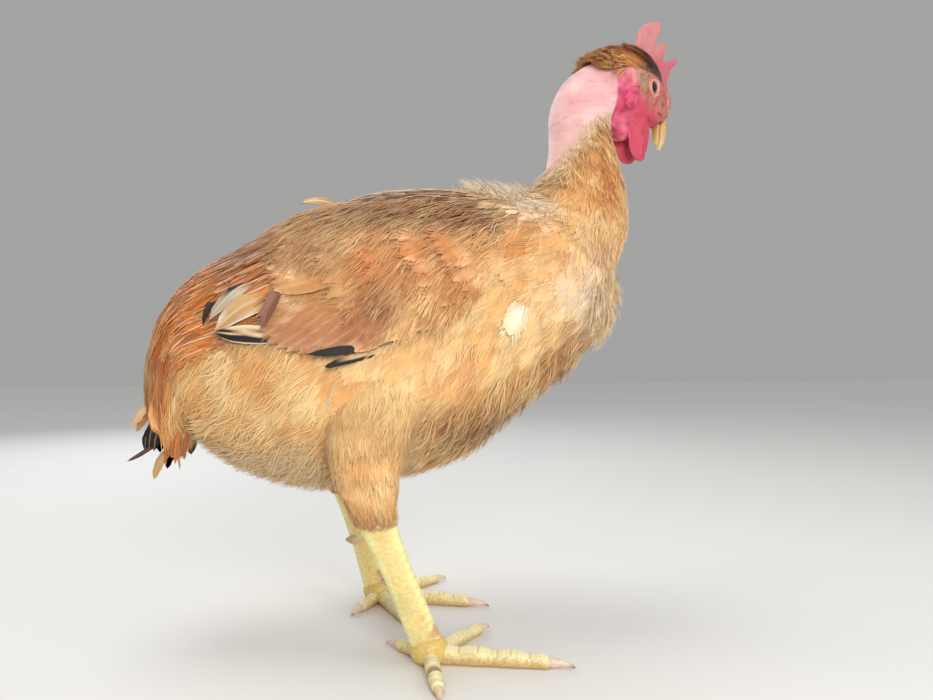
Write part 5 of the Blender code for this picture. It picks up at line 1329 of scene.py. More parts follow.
def feathers(form, s, angle, length, half, lifts, seed, barbs, swing, light, rim,
             hue, long):
    """Whole feathers: a broad blade for each, and barbs that start on the blade, lean out and pass its rim."""
    chance = np.random.default_rng(seed)
    n = len(s)
    last = len(form.rows) - 1
    reach = np.broadcast_to(np.asarray(length, float), (n,)) * chance.uniform(0.85, 1.15, n)
    reach = np.minimum(reach, (last - 0.1 - s) * form.pace(np.minimum(s + 1, last - 1), angle)[0])
    turn = fall(form, s, angle)
    drift, top = chance.normal(0, swing, n) + reach * np.sin(turn), lifts[1] + chance.uniform(-0.3, 0.45, n)
    reach = reach * np.cos(turn)
    path, normal = lay(form, s, angle, reach, drift, lifts[0], top, LEAF[:, 0])
    tone = coat_colours(form.bare(np.minimum(s + 0.4, last), angle), s, wrapped(angle))
    tone = varied(tone, chance.normal(0, hue, n))
    tone = tone * chance.uniform(*light, (n, 1))
    pale = blend(tone, paint(255, 230, 180), rim * chance.uniform(0.2, 1.0, n))
    half = half * chance.uniform(0.85, 1.15, n)
    place = on_unwrap(s, angle, last)
    blades = vanes(path, normal, half, LEAF, tone, blend(tone, pale, 0.25), 0.25 * (chance.random(n) > 0.8), place,
                   ragged=0.1, seed=seed, tilt=chance.normal(0, 0.04,
                                                             n), columns=5, camber=0.10, curve=0.12, trust=0.88,
                   thick=0.2)
    i = np.repeat(np.arange(n), barbs)
    part = 0.95 * chance.random(len(i)) ** 0.75
    lean = chance.choice([-1.0, 1.0], len(i)) * chance.uniform(0.25, 1.0, len(i))
    pace_s, pace_a = form.pace(s, angle)
    halfway, _ = form.pace(np.clip(s + 0.5 * reach / pace_s, 0, last - 0.2), angle)
    start_s = s[i] + (reach / (0.4 * pace_s + 0.6 * halfway))[i] * part
    _, about = form.pace(np.minimum(start_s, last), angle[i])
    out = lean * 0.75 * half[i] * np.interp(part, LEAF[:, 0], LEAF[:, 1])
    start_a = angle[i] + (drift / pace_a)[i] * part ** 1.4 + out / about
    span = long * chance.uniform(0.7, 1.3, len(i)) * (1 - 0.35 * part)
    at = lifts[0] + (top[i] - lifts[0]) * np.minimum(1, 1.25 * part)
    way = turn[i] * (1 + 0.3 * part) + 0.42 * lean
    path, normal = lay(form, start_s, start_a, span * np.cos(way), span * np.sin(way), at - 0.1,
                       at + chance.uniform(0.1, 0.9, len(i)), BARB[:, 0], bend=1.1)
    edge = np.clip(0.35 * np.abs(lean) + 0.75 * part ** 1.5, 0, 1)
    inner = blend(tone[i], pale[i], 0.8 * edge) * chance.uniform(0.98, 1.02, (len(i), 1))
    outer = blend(inner, pale[i] * 1.03, 0.5 + 0 * part)
    return [blades, vanes(path, normal, 0.42 * chance.uniform(0.7, 1.3, len(i)), BARB, inner, outer, 0.0, place[i],
                          thick=0.16,
                          camber=0.1, seed=seed, curve=0.4)]


def on_trunk(s, angle):
    off = 180 - np.abs(wrapped(angle))
    points = BODY.bare(s, angle)
    return (s > bib_line(off) + 0.15) * (1 - 0.9 * under_wing(points))


def plumes(form, s, angle, length, seed, colour=coat_colours, each=14, fan=0.32, spread=0.13, half=0.42,
           lifts=(-0.6, 1.2), swing=2.0, light=(0.93, 1.05), rim=0.45, loose=0.4, shape=BARB, tone_at=0.3, curve=0.5,
           hue=0.16, soft=True, flow=1.0):
    """Loose feathers as bundles of barbs: each barb leaves the shaft at its own point, leans out to one side by
    a share (fan) of its length, and has its feather's tone, a little lighter at the tip."""
    chance = np.random.default_rng(seed)
    n = len(s)
    reach = np.broadcast_to(np.asarray(length, float), (n,)) * chance.uniform(0.82, 1.18, n)
    drift = chance.normal(0, swing, n)
    tone = colour(form.bare(np.minimum(s + tone_at, len(form.rows) - 1), angle), s, wrapped(angle))
    tone = varied(tone, chance.normal(0, hue, n))
    tone = tone * chance.uniform(*light, (n, 1))
    i = np.repeat(np.arange(n), each)
    part, lean = chance.random(len(i)), chance.uniform(-1, 1, len(i))
    pace_s, pace_a = (pace[i] for pace in form.pace(s, angle))
    turn = flow * fall(form, s, angle)[i]
    start_s = s[i] + 0.5 * part * reach[i] * np.cos(turn) / pace_s
    start_a = angle[i] + (drift[i] * 0.4 * part + 0.5 * part * reach[i] * np.sin(turn) + spread * reach[i]
                          * lean) / pace_a
    long = reach[i] * (1 - 0.45 * part) * chance.uniform(0.85, 1.1, len(i))
    low = lifts[0] + 0.5 * part * (lifts[1] - lifts[0])
    high = lifts[1] + chance.uniform(-0.7, 1.0, n)[i] + chance.uniform(-loose, loose, len(i))
    way = turn + fan * lean
    path, normal = lay(form, start_s, start_a, long * np.cos(way), drift[i] * 0.6 + long * np.sin(way), low, high,
                       shape[:, 0])
    inner = tone[i] * chance.uniform(0.96, 1.04, (len(i), 1))
    outer = blend(inner, paint(255, 228, 172), rim * chance.random(len(i)))
    return vanes(path, normal, half * chance.uniform(0.7, 1.3, len(i)), shape, inner, outer, 0.0,
                 on_unwrap(s, angle, len(form.rows) - 1)[i], thick=0.16, camber=0.1, seed=seed, curve=curve,
                 soft=soft)


def plain(colour):
    return lambda points, s, angle: blend(colour * 0.97, colour, ease(clouds(points, 5, 77), -0.4, 0.4))


def body_length(s, angle):
    return np.interp(s, [1.5, 3, 5, 7, 9, 13, 17], [10, 13, 18, 24, 32, 34, 28])


def front_share(s, angle):
    return on_trunk(s, angle) * (np.abs(wrapped(angle)) > 60)


def back_share(s, angle):
    return on_trunk(s, angle) * (np.abs(wrapped(angle)) <= 60)


for name, seed, spacing, low, high, share, half, lifts, barbs, wisps in (
        ("breast", 62, 9.8, 6.8, 11.2, front_share, 9.6, (-1.3, 0.1), 12, 5),
        ("flank", 63, 11.0, 11.0, 18.2, front_share, 11.2, (-1.3, 0.1), 9, 4),
        ("back", 64, 8.8, 6.8, 14.0, back_share, 6.4, (-1.6, 0.3), 10, 4),
        ("neck", 61, 7.4, 1.6, 7.2, on_trunk, 5.6, (-1.2, 0.0), 6, 0)):
    # a closed under layer
    s, angle = scatter(BODY, low, high, 7.5 if name == "neck" else 11.0, seed + 30, share)
    length = body_length(s, angle)
    turn = fall(BODY, s, angle)
    path, normal = lay(BODY, s, angle, length * np.cos(turn), length * np.sin(turn), -3.0, -1.3, LEAF[:, 0])
    tone = coat_colours(BODY.bare(s + 0.4, angle), s, wrapped(angle))
    under = vanes(path, normal, 6.5 if name == "neck" else 11.5, LEAF, tone, tone, 0.0, on_unwrap(s, angle),
                  columns=3,
                  thick=0.12, camber=0.02, curve=0.0, trust=1.0, seed=seed)
    s, angle = scatter(BODY, low, high, spacing, seed, share)
    broad, length = len(s), body_length(s, angle)
    chunks = [under] + feathers(BODY, s, angle, length, half, lifts, seed, barbs=barbs, swing=1.5
                                if name == "neck" else 3.0,
                                long=0.3 * length.mean() + 2, rim=0.12 if name == "back" else 0.35, hue=0.06,
                                light=(0.96, 1.03))
    if name == "flank":                                  # loose fluff over the rear of the flank
        s, angle = scatter(BODY, 13.4, 18.4, 8.6, seed + 10, lambda s, a: on_trunk(s, a) * (
            np.abs(wrapped(a)) > np.interp(s, [13.4, 15, 16.6, 18.4], [56, 72, 92, 108])))
        chunks.append(plumes(BODY, s, angle, 27, seed + 20, each=6, half=0.46, rim=0.4, fan=0.3, lifts=(-0.3, 1.9),
                             loose=0.7,
                             swing=4.0, hue=0.08))
    if name == "neck":
        s, angle = scatter(BODY, low + 0.1, high, 5.4, seed + 10, share)
        chunks.append(plumes(BODY, s, angle, 0.8 * body_length(s, angle), seed + 20, each=7, half=0.32, rim=0.25,
                             fan=0.34,
                             lifts=(-0.4, 1.1), loose=0.5, swing=1.5, hue=0.08))
    s, angle = scatter(BODY, low + 0.1, high, spacing * 1.2, seed + 11, share)
    chunks.append(plumes(BODY, s, angle, 0.75 * body_length(s, angle), seed + 21, each=max(wisps, 3), half=0.34,
                         rim=0.1 if name == "back" else 0.35, fan=0.38, hue=0.08, lifts=(-0.2,
                                                                                         1.3), loose=0.4, swing=3.0))
    s, angle = scatter(BODY, max(low, 6.0), high, 17.0 if name != "back" else 11.0, seed + 12, share)
    chunks.append(plumes(BODY, s, angle, 0.8 * body_length(s, angle), seed + 22, each=2, half=0.17, rim=0.0,
                         fan=0.3, swing=9.0,
                         colour=plain(paint(252, 230, 194) if name != "back" else paint(236, 204,
                                                                                        166)), lifts=(lifts[1]
                                                                                                      + 0.3, 1.6), shape=HAIR, hue=0.0))
    coat_piece(f"coat_{name}", chunks, SOFT)
    print(broad, "broad feathers and", len(s), "pale plumes over them")

# %% [markdown]
# ## Loose tufts
# Here and there down stands away from the coat: a pale collar at the foot of the bare neck, whitish fluff where
# the neck meets the back, torn tufts before the crop and under the belly, and one near-white feather on the
# breast. Each is a small field of long thin barbs with a higher lift, placed by the side view.

# %% Tufts that stand out
def field(x, z, reach_x, reach_z, angles=(0, 180)):
    """A keep rule: a soft oval in the side view, on both sides, between two angles off the back."""
    def keep(s, angle):
        spot = BODY.bare(s, angle)
        inside = 1 - ((spot[:, 0] - x) / reach_x) ** 2 - ((spot[:, 2] - z) / reach_z) ** 2
        off = np.abs(wrapped(angle))
        return np.clip(inside * 2, 0, 1) * (off >= angles[0]) * (off <= angles[1])
    return keep


tufts = []
for seed, low, high, keep, spacing, length, lifts, colour, options in (
        (171, 4.6, 6.6, field(120, 334, 22, 16, (0, 84)), 7.5, 14, (-1, 4.6), paint(236, 200, 152),
         dict(loose=2.2, each=7)),
        (172, 6.6, 8.8, field(92, 320, 26, 16, (0, 60)), 7.0, 15, (-1, 8.0), paint(240, 212, 178),
         dict(loose=3.5, each=7, fan=0.9, half=0.2)),
        (173, 7.0, 10.0, field(168, 240, 22, 22, (95, 180)), 8.0, 17, (-1, 5.0), paint(240, 204, 162),
         dict(loose=3.0, fan=0.6, swing=5.0, each=8)),
        (177, 12.5, 18.0, field(-62, 122, 52, 20, (112, 180)), 6.6, 15, (-1, 5.5), paint(226, 200, 166),
         dict(loose=3.4, each=8, fan=0.9, swing=7.0)),
        (174, 9.5, 14.0, field(50, 130, 40, 16, (120, 180)), 9.5, 19, (-1, 4.0), paint(238, 200, 150),
         dict(loose=3.4, each=8, swing=5.0))):
    s, angle = scatter(BODY, low, high, spacing, seed, keep)
    settings = dict(each=10, fan=0.45, half=0.24, shape=HAIR, swing=3.0, rim=0.5, hue=0.06)
    settings.update(options)
    tufts.append(plumes(BODY, s, angle, length, seed, colour=plain(colour), lifts=lifts, **settings))
lone = np.array([(-22, -6, 300), (-31, -7, 305), (-40, -8, 307), (-48, -8.5, 306.5), (-54, -9, 304)], float)
path = smooth_line(lone, len(LEAF))[None]
tufts.append(vanes(path, np.broadcast_to([0.15, -0.8, 0.6], path.shape), 5.0, LEAF, paint(176, 132, 88)[None],
                   paint(212, 176, 130)[None], 0.5, on_unwrap(np.array([12.6]),
                                                              np.array([4.0])), columns=7, ragged=0.3,
                   seed=176, soft=False))
SQUARE = np.array([(0, .75), (.3, .95), (.6, 1), (.82, .92), (.95, .66), (1, 0)])
share = SQUARE[:, 0]
s, angle = BODY.locate(np.array(92 - 9 * share), np.array(232 - 20 * share), 7.2, 12.0)
path, normal = BODY.bare(s, -angle) + BODY.normal(s, -angle) * (0.4 + 1.6 * share)[:, None], BODY.normal(s, -angle)
tufts.append(vanes(path[None], normal[None], 8.6, SQUARE, paint(254, 242, 214)[None], paint(252, 222, 170)[None], 0.0,
                   on_unwrap(s[:1], -angle[:1]), columns=7, ragged=0.15, seed=178, thick=0.2, camber=0.04, trust=0.9))
tufts.append(rims(path[None], normal[None], 9.5, SQUARE, lambda spots: np.tile(paint(253, 232, 192),
                                                                               (len(spots), 1)), 60, 6.0,
                  on_unwrap(s[:1], -angle[:1]), 179, fan=0.6, pale=0.5, width=0.3))
coat_piece("coat_tufts", tufts, SOFT)

# %% [markdown]
# ## Thighs and the loose fluff under the belly
# The drumstick wears small feathers that end in a ragged hem just above the scales. Between the legs and behind
# them the plumes have no hooks to hold their barbs together, so they hang as a soft beige fringe. The thigh is
# an upright form of its own, and the fringe is many long barbs that droop off the belly.

# %% Thigh form and its coat
def thigh_form(leg):
    """Ovals from the flank down to the hock; angle 0 faces forward and 180 to the rear."""
    rows = np.array([(96, 8, 30, 30, 27), (70, 5, 22, 33, 22.5), (48, -2, 13, 27.5, 21.5), (28, -4, 4, 22.0, 18.5),
                     (12, -3, 0, 18, 15.5), (0, 0, 0, 13.6, 11.6), (-9, 2, 0, 11.0, 9.6)], float)
    middle = np.array(leg["hock"], float) + np.stack([rows[:, 1], -leg["sign"] * rows[:, 2], rows[:, 0]], 1)
    reach = np.stack([rows[:, 3], 0 * rows[:, 0], 0 * rows[:, 0]], 1)
    return Form(middle + reach, middle - reach, rows[:, 4], np.tile([0.0, 1.0, 0.0], (len(rows), 1)))


def thigh_colours(points, s, angle):
    """Orange buff with cloudy changes, the flank's colours at the top, and orange at the hem."""
    tone = blend(paint(238, 176, 112), paint(250, 208, 148), ease(clouds(points, 14, 71), -0.4, 0.6))
    tone = blend(tone, paint(220, 142, 80), 0.45 * ease(clouds(points, 9, 72), 0.1, 0.6))
    tone = blend(tone, coat_colours(points, 12 + 0 * s, 110 + 0 * s), ease(-s, -2.2, -0.8))
    return blend(tone, paint(222, 150, 92), 0.5 * ease(s, 4.2, 5.2))


def everywhere(s, angle):
    return np.ones(len(s))


for word, leg in LEGS.items():
    form = thigh_form(leg)
    s, angle = scatter(form, 0.3, 4.8, 7.0, 72, everywhere, many=20000)
    chance = np.random.default_rng(73)
    n = len(s)
    path, normal = lay(form, s, angle, np.minimum(chance.uniform(20, 27, n), (6.1 - s) * 18), chance.normal(0, 2.5,
                                                                                                            n),
                       -4.0, 0.3, LEAF[:, 0])
    inner = thigh_colours(form.bare(s, angle), s, wrapped(angle)) * chance.uniform(0.95, 1.04, (n, 1))
    place = on_unwrap(11 + s, wrapped(angle))
    chunks = [vanes(path, normal, 7.0 * chance.uniform(0.85, 1.15, n), LEAF, inner, blend(inner, paint(255, 224, 166),
                    chance.uniform(0.05, 0.25, n)), 0.0, place, ragged=0.25, seed=74, columns=5, camber=0.08)]
    s, angle = scatter(form, 0.0, 1.2, 6.4, 76, everywhere, many=20000)
    chunks.append(plumes(form, s, angle, 34, 76, colour=thigh_colours, each=9, half=0.44, lifts=(-1.5, 1.6),
                         fan=0.34, swing=6.0))
    s, angle = scatter(form, 0.2, 5.2, 6.2, 75, everywhere, many=20000)
    chunks.append(plumes(form, s, angle, np.minimum(20, (6.15 - s) * 16), 75, colour=thigh_colours, each=9, half=0.38,
                         lifts=(-0.8, 1.1), fan=0.28))
    s, angle = scatter(form, 4.2, 5.3, 4.6, 77, everywhere, many=20000)
    chunks.append(plumes(form, s, angle, np.minimum(15, (6.0 - s) * 17), 77, colour=thigh_colours, each=6, half=0.26,
                         lifts=(0.0, 2.4), fan=0.4, loose=1.2, soft=False))
    coat_piece(f"coat_thigh_{word}", chunks, SOFT)


def belly_share(s, angle):
    return np.abs(wrapped(angle)) > np.interp(s, [8, 11, 13, 17.5], [150, 128, 118, 104])


for name, seed, spacing, length, half, lifts, each, shape in (
        ("coat_fringe", 81, 8.6, 30, 0.52, (-3.0, 2.4), 10, BARB), ("coat_fringe_loose", 82, 11.5, 24, 0.34,
                                                                    (-1.0, 5.5), 8, HAIR)):
    s, angle = scatter(BODY, 9.6, 17.8, spacing, seed, belly_share)
    coat_piece(name, [plumes(BODY, s, angle, np.interp(s, [9, 12, 17.6], [0.6, 0.9, 1]) * length, seed, each=each,
                             half=half, lifts=lifts, fan=0.42, swing=5.0, shape=shape, loose=2.2, rim=0.55)], SOFT)

# %% [markdown]
# ## Saddle hackles
# From the rear of the back hang narrow, pointed, glossy feathers that fall over the rump and down both sides of
# the tail. They are copper with pale shafts that look like fine white streaks. Rows start further forward as
# they climb towards the spine, and the front rows lie over the rear ones.

# %% Hackles over the rump
def saddle_colours(points, s, angle):
    """Copper, a rufous patch above the wing's tip, brown near the spine, and olive cream at the rear edge."""
    x, z = points[:, 0], points[:, 2]
    tone = blend(paint(184, 90, 28), paint(214, 122, 46), ease(clouds(points, 12, 91), -0.4, 0.5))
    tone = blend(tone, paint(168, 76, 28), 0.65 * ease(clouds(points, 7, 92), 0.2, 0.6))
    tone = blend(tone, paint(204, 92, 30), 0.85 * np.exp(-((x + 88) / 17) ** 2 - ((z - 258) / 16) ** 2))
    tone = blend(tone, paint(116, 66, 34), 0.85 * ease(-np.abs(angle), -58, -24) * ease(x, -118, -96))
    tone = blend(tone, paint(196, 160, 106), 0.7 * ease(-x, 143, 149) * ease(z, 170, 190))
    return blend(tone, paint(222, 164, 100), 0.45 * ease(np.abs(angle), 66, 100))


def saddle_share(s, angle):
    return np.abs(wrapped(angle)) < np.interp(s, [11.0, 12.2, 13.6, 15.0, 16.6, 18.0], [36, 50, 64, 82, 104, 118])


hackles = []
for seed, spacing, low, high, length, half, lifts in ((92, 7.4, 14.6, 18.6, 46, 3.6, (-4.0, 0.3)),
                                                      (93, 7.2, 12.6, 16.2, 66, 3.5, (-3.5, 1.5)),
                                                      (94, 7.4, 11.0, 14.2, 70, 3.6, (-2.5, 2.8))):
    s, angle = scatter(BODY, low, high, spacing, seed, saddle_share)
    chance = np.random.default_rng(seed)
    n = len(s)
    reach = length * chance.uniform(0.82, 1.12, n)
    room = np.array([np.interp(20.75, np.linspace(a, 21, 40), np.concatenate([[0], np.cumsum(np.linalg.norm(np.diff(
        BODY.bare(np.linspace(a, 21, 40), b), axis=0), axis=1))])) for a, b in zip(s, angle)])
    turn = 0.35 * fall(BODY, s, angle)
    reach = np.minimum(reach * np.cos(turn), room * chance.uniform(0.93, 1.0, n))
    path, normal = lay(BODY, s, angle, reach, reach * np.tan(turn) + chance.normal(0, 3.0, n), lifts[0], lifts[1]
                       + chance.uniform(-0.4, 0.5, n), HACKLE[:, 0], bend=1.1)
    half_way = path[:, 3]
    inner = saddle_colours(half_way, s, wrapped(angle)) * chance.uniform(0.80, 1.1, (n, 1))
    dark = chance.random(n) > 0.86
    inner = blend(inner, paint(110, 60, 34), 0.5 * dark)
    outer = blend(inner, paint(244, 190, 120), chance.uniform(0.0, 0.35, n) * ~dark)
    hackles.append(vanes(path, normal, half * chance.uniform(0.8, 1.15, n), HACKLE, inner, outer,
                         (chance.random(n) > 0.55) * chance.uniform(0.4, 1.0, n), on_unwrap(s, angle),
                         ragged=0.12, seed=seed, tilt=chance.normal(0, 0.16, n), thick=0.26, columns=5, trust=0.45))
s, angle = scatter(BODY, 11.6, 18.6, 8.0, 96, saddle_share)
hackles.append(plumes(BODY, s, angle, 34, 96, colour=saddle_colours, each=7, half=0.36, lifts=(0.2, 2.6), fan=0.07,
                      spread=0.10, swing=1.6, light=(0.85, 1.15), shape=HAIR, tone_at=0.8, flow=0.35))
coat_piece("coat_saddle", hackles, GLOSSY)

# %% [markdown]
# ## Tail
# This young cock's tail is short and droops, half hidden by the saddle. Dark brown and black feathers show at
# its lower end, with a few curled tips and small buff ones beside them. They are broad blades in two layers.

# %% Tail feathers
def tail_marks(tint, u, v, points):
    """Darker to the tip, with a thin rufous edge."""
    dark = ease(v, 0.25, 0.75)[None, :, None]
    edge = (ease(np.abs(u), 0.75, 1.0) * ease(v, 0.3, 0.9))[None, :, None]
    return (tint * (1 - 0.6 * dark)) * (1 - 0.5 * edge) + paint(150, 82, 44) * 0.5 * edge


tail = []
for seed, root, tip, count, first, last, half, low, high in ((101, 16.7, 20.6, 9, 6, 150, 5.4, -9.0, -4.0),
                                                             (102, 16.4, 19.7, 8, 10, 118, 6.0, -7.0, -0.8)):
    chance = np.random.default_rng(seed)
    angle = np.concatenate([np.linspace(first, last, count), -np.linspace(first, last, count)])
    n = len(angle)
    s = np.full(n, root)
    ends = tip + chance.uniform(-0.25, 0.2, n)
    t = LONG[:, 0][None]
    places = s[:, None] + (ends - s)[:, None] * t
    turned = angle[:, None] * (1 + 0.04 * t)
    normal = BODY.normal(places, turned)
    path = BODY.bare(places, turned) + normal * (low + (high - low) * t)[..., None]
    inner = np.tile(paint(84, 44, 28), (n, 1)) * chance.uniform(0.6, 1.3, (n, 1))
    tail.append(vanes(path, normal, half, LONG, inner, inner * 0.6, 0.15, on_unwrap(s, angle), columns=7, ragged=0.18,
                      tilt=np.sign(angle) * 0.18, seed=seed, marks=tail_marks))
# loose tips below: root (x, y, z), tip (x, y, z), sag to the rear, half width, colour
LOOSE = [((-143, -8, 166), (-153, -13, 135), 3, 4.8, (30, 24, 24)), ((-139, -12, 160), (-149, -17, 134), 3, 4.4,
                                                                     (40, 28, 26)),
         ((-146, -3, 158), (-157, -6, 133), 4, 3.6, (28, 23, 24)), ((-140, -9, 150), (-167, -13, 127), -5, 1.7,
                                                                    (84, 48, 34)),
         ((-150, -6, 168), (-165, -9, 150), 2, 3.6, (220, 184, 138)), ((-151, -2, 162), (-163, -4, 146), 2, 3.0,
                                                                       (200, 142, 92)),
         ((-137, -12, 138), (-149, -16, 115), 3, 3.8, (210, 164, 110)), ((-131, -17, 160), (-137, -22, 131), 2, 2.4,
                                                                         (196, 108, 54)),
         ((-127, -19, 156), (-134, -25, 126), 3, 2.2, (206, 122, 64)), ((-124, -20, 152), (-128, -26, 129), 2, 2.0,
                                                                        (176, 96, 52)),
         ((-129, -18, 158), (-131, -24, 122), 3, 1.6, (224, 160, 100)), ((-134, -15, 160), (-141, -20, 124), 3, 1.8,
                                                                         (190, 104, 56)),
         ((-131, 14, 158), (-138, 20, 130), 2, 4.4, (196, 108, 52)), ((-126, 18, 154), (-132, 24, 126), 2, 4.2,
                                                                      (206, 122, 62)),
         ((-141, 4, 156), (-150, 8, 130), 3, 4.4, (44, 30, 28)), ((-136, 8, 140), (-146, 12, 118), 3, 3.6,
                                                                  (206, 158, 106))]
roots, tips = np.array([row[0] for row in LOOSE], float), np.array([row[1] for row in LOOSE], float)
t = LONG[:, 0][None, :, None]
path = roots[:, None] + (tips - roots)[:, None] * t
path[..., 0] -= np.array([row[2] for row in LOOSE])[:, None] * np.sin(math.pi * t[..., 0]) ** 1.2
facing = unit(np.stack([np.full(len(LOOSE), -0.5), np.sign(roots[:, 1]) * 0.85, np.zeros(len(LOOSE))], -1))
inner = np.array([paint(*row[4]) for row in LOOSE])
tail.append(vanes(path, np.broadcast_to(facing[:, None], path.shape), np.array([row[3] for row in LOOSE]), LONG,
                  inner,
                  inner * 0.85, 0.2, on_unwrap(np.full(len(LOOSE), 20.0),
                                               roots[:, 1]), columns=7, ragged=0.3, seed=104))
coat_piece("coat_tail", tail, GLOSSY)

# %% [markdown]
# ## Wings
# A folded wing shows its feathers in ranks. Small coverts cover the shoulder and fade into the breast, longer
# ones follow, then the broad secondaries make a smooth panel. The primaries' tips look out behind and below it,
# cream and black. Each rank is a row between two lines, the roots' and the tips', as seen from the side, and is
# then wrapped over the flank.

# %% Ranks of the wing
# count, half width, line of roots and line of tips (x, z on the bench), lift of the tips above the dome
RANKS = {
    "hidden": (6, 6.5, ((18, 224), (-8, 238)), ((-46, 208), (-84, 224)), 1.6),
    "secondaries": (12, 8.2, ((26, 236), (-6, 257), (-30, 264)),
                    ((-22, 201), (-45, 199), (-63, 201), (-74, 207), (-76, 222), (-69, 240)), 3.5),
    "tertials": (7, 8.0, ((2, 264), (-14, 284)), ((-68, 238), (-73, 252), (-62, 273)), 4.0),
    "greater": (10, 8.0, ((38, 240), (16, 268), (0, 280)), ((2, 206), (-18, 212), (-32, 230), (-42, 250),
                                                            (-42, 268)), 4.0),
    "median": (10, 7.8, ((52, 246), (36, 272), (18, 288)), ((24, 214), (4, 224), (-8, 244), (-16, 262), (-18, 280)),
               3.1),
    "lesser": (10, 7.4, ((62, 254), (52, 274), (38, 290)), ((40, 222), (24, 236), (14, 252), (9, 268), (8, 284)),
               2.4),
    "shoulder": (8, 7.2, ((72, 260), (66, 276), (54, 290)), ((54, 234), (42, 248), (33, 264), (30, 281)), 1.9),
    "scapulars": (11, 6.2, ((46, 298), (12, 304), (-18, 300)), ((10, 282), (-20, 274), (-48, 266), (-66, 262)), 2.6),
}


def wing_colours(points):
    """Buff coverts with an orange patch, brown-pink secondaries with a darker rufous panel before them."""
    points = points * [1, 0, 1]                              # both wings get the same marks
    x, z = points[..., 0], points[..., 2]
    tone = blend(paint(204, 132, 76), paint(244, 190, 128), ease(clouds(points, 14, 111), -0.45, 0.45))
    tone = blend(tone, paint(206, 136, 78), 0.5 * ease(clouds(points, 8, 113), 0.1, 0.6))
    tone = blend(tone, paint(166, 116, 72), 0.75 * ease(-x, 0, 34) * ease(z, 246, 262))
    tone = blend(tone, paint(128, 74, 44), 0.85 * ease(z, 274, 289) * ease(x, -45, -5))
    tone = blend(tone, paint(226, 128, 62), 0.65 * np.exp(-((x + 2) / 25) ** 2 - ((z - 262) / 12) ** 2)
                 * ease(clouds(points, 9, 112), -0.5, 0.2))
    panel = ease(-x, 16, 30) * ease(-z, -256, -238)
    tone = blend(tone, blend(paint(172, 112, 76), paint(194, 136, 82), ease(z, 206, 240)), 0.95 * panel)
    left = np.interp(z, [207, 246], [-27, -15.6])
    rufous = ease(x - left, -1, 2.5) * ease(left + 34 - x, 0, 16) * ease(z, 203, 207) * ease(-z, -252, -240)
    return blend(tone, blend(paint(148, 84, 48), paint(172, 106, 64), ease(clouds(points, 10, 114), -0.3, 0.4)),
                 0.95 * rufous)


def wing_marks(tint, u, v, points):
    """Each covert takes the wing's colours point by point, keeps its own brightness, and is paler at the rim."""
    own = tint.mean(-1, keepdims=True) / np.maximum(tint[:, :1].mean(-1, keepdims=True), 1e-6)
    rim = (0.12 * ease(np.abs(u), 0.6, 1.0) + 0.10 * ease(v, 0.75, 1.0))[None] + np.zeros(tint.shape[:2])
    grain = clouds(np.stack([0.4 * points[..., 0] + points[..., 2], 0.25 * points[..., 0], 0 * points[..., 0]], -1),
                   5, 115)
    return blend(wing_colours(points) * np.clip(own, 0.8, 1.1) ** 0.3, paint(255, 222, 176), rim + 0.34
                 * ease(grain, 0.1, 0.55))


def wing_path(spots, root, high, side, shape):
    """Shafts seen from the side at spots, wrapped over the flank and lifted from the dome to high."""
    share = shape[:, 0][None]
    s, angle = BODY.locate(spots[..., 0], spots[..., 1], 7.2, 17.6)
    seat = wing_seat(root[:, 0], root[:, 1])[:, None] - 1.2
    lift = seat + (np.asarray(high, float).reshape(-1, 1) - seat) * np.minimum(1, 1.15 * share) ** 1.2
    normal = BODY.normal(s, side * angle)
    return BODY.bare(s, side * angle) + normal * lift[..., None], normal, on_unwrap(s[:, 0], side * angle[:, 0])


def along_line(knots, share):
    knots = np.array(knots, float)
    at = np.linspace(0, 1, len(knots))
    return np.stack([np.interp(share, at, knots[:, 0]), np.interp(share, at, knots[:, 1])], -1)


def wing_rank(side, row, chance):
    """One rank of vanes: root to tip as seen from the side, wrapped over the flank and its dome."""
    count, half, roots, tips, high = RANKS[row]
    shape = LONG if row in ("hidden", "secondaries", "tertials") else LEAF
    t = np.linspace(0, 1, count)
    root = along_line(roots, t) + chance.uniform(-1.0, 1.0, (count, 2))
    tip = along_line(tips, t) + chance.uniform(-1.6, 1.6, (count, 2)) * (shape is LEAF)
    share = shape[:, 0][None, :, None]
    spots = root[:, None] * (1 - share) + tip[:, None] * share
    spots[..., 1] -= (2.5 if shape is LONG else 1.0) * np.sin(math.pi * share[..., 0])        # shafts sag a little
    path, normal, place = wing_path(spots, root, high + wing_seat(tip[:, 0], tip[:, 1]), side, shape)
    tone = np.ones((count, 3)) * chance.uniform(0.9, 1.08, (count, 1))
    marks = wing_marks
    if row == "hidden":
        tone, marks = np.tile(paint(52, 38, 34), (count, 1)), None
    out = [vanes(path, normal, half * chance.uniform(0.92, 1.08, count), shape, tone, tone,
                 (0.22 if shape is LONG else 0.15) * chance.random(count), place,
                 columns=9 if shape is LONG else 7, ragged=0.05 if shape is LONG else 0.1, tilt=side * 0.05,
                 thick=0.2, camber=0.06, seed=int(chance.integers(999)), marks=marks, trust=0.85, curve=0.15)]
    if row != "hidden":
        soft = shape is LEAF
        out.append(rims(path, normal, half, shape, wing_colours, 46 if soft else 34,
                        7.0 if soft else 6.0, place, int(chance.integers(999)), fan=0.45 if soft else 0.3,
                        pale=0.35, width=0.34 if soft else 0.22))
    return out


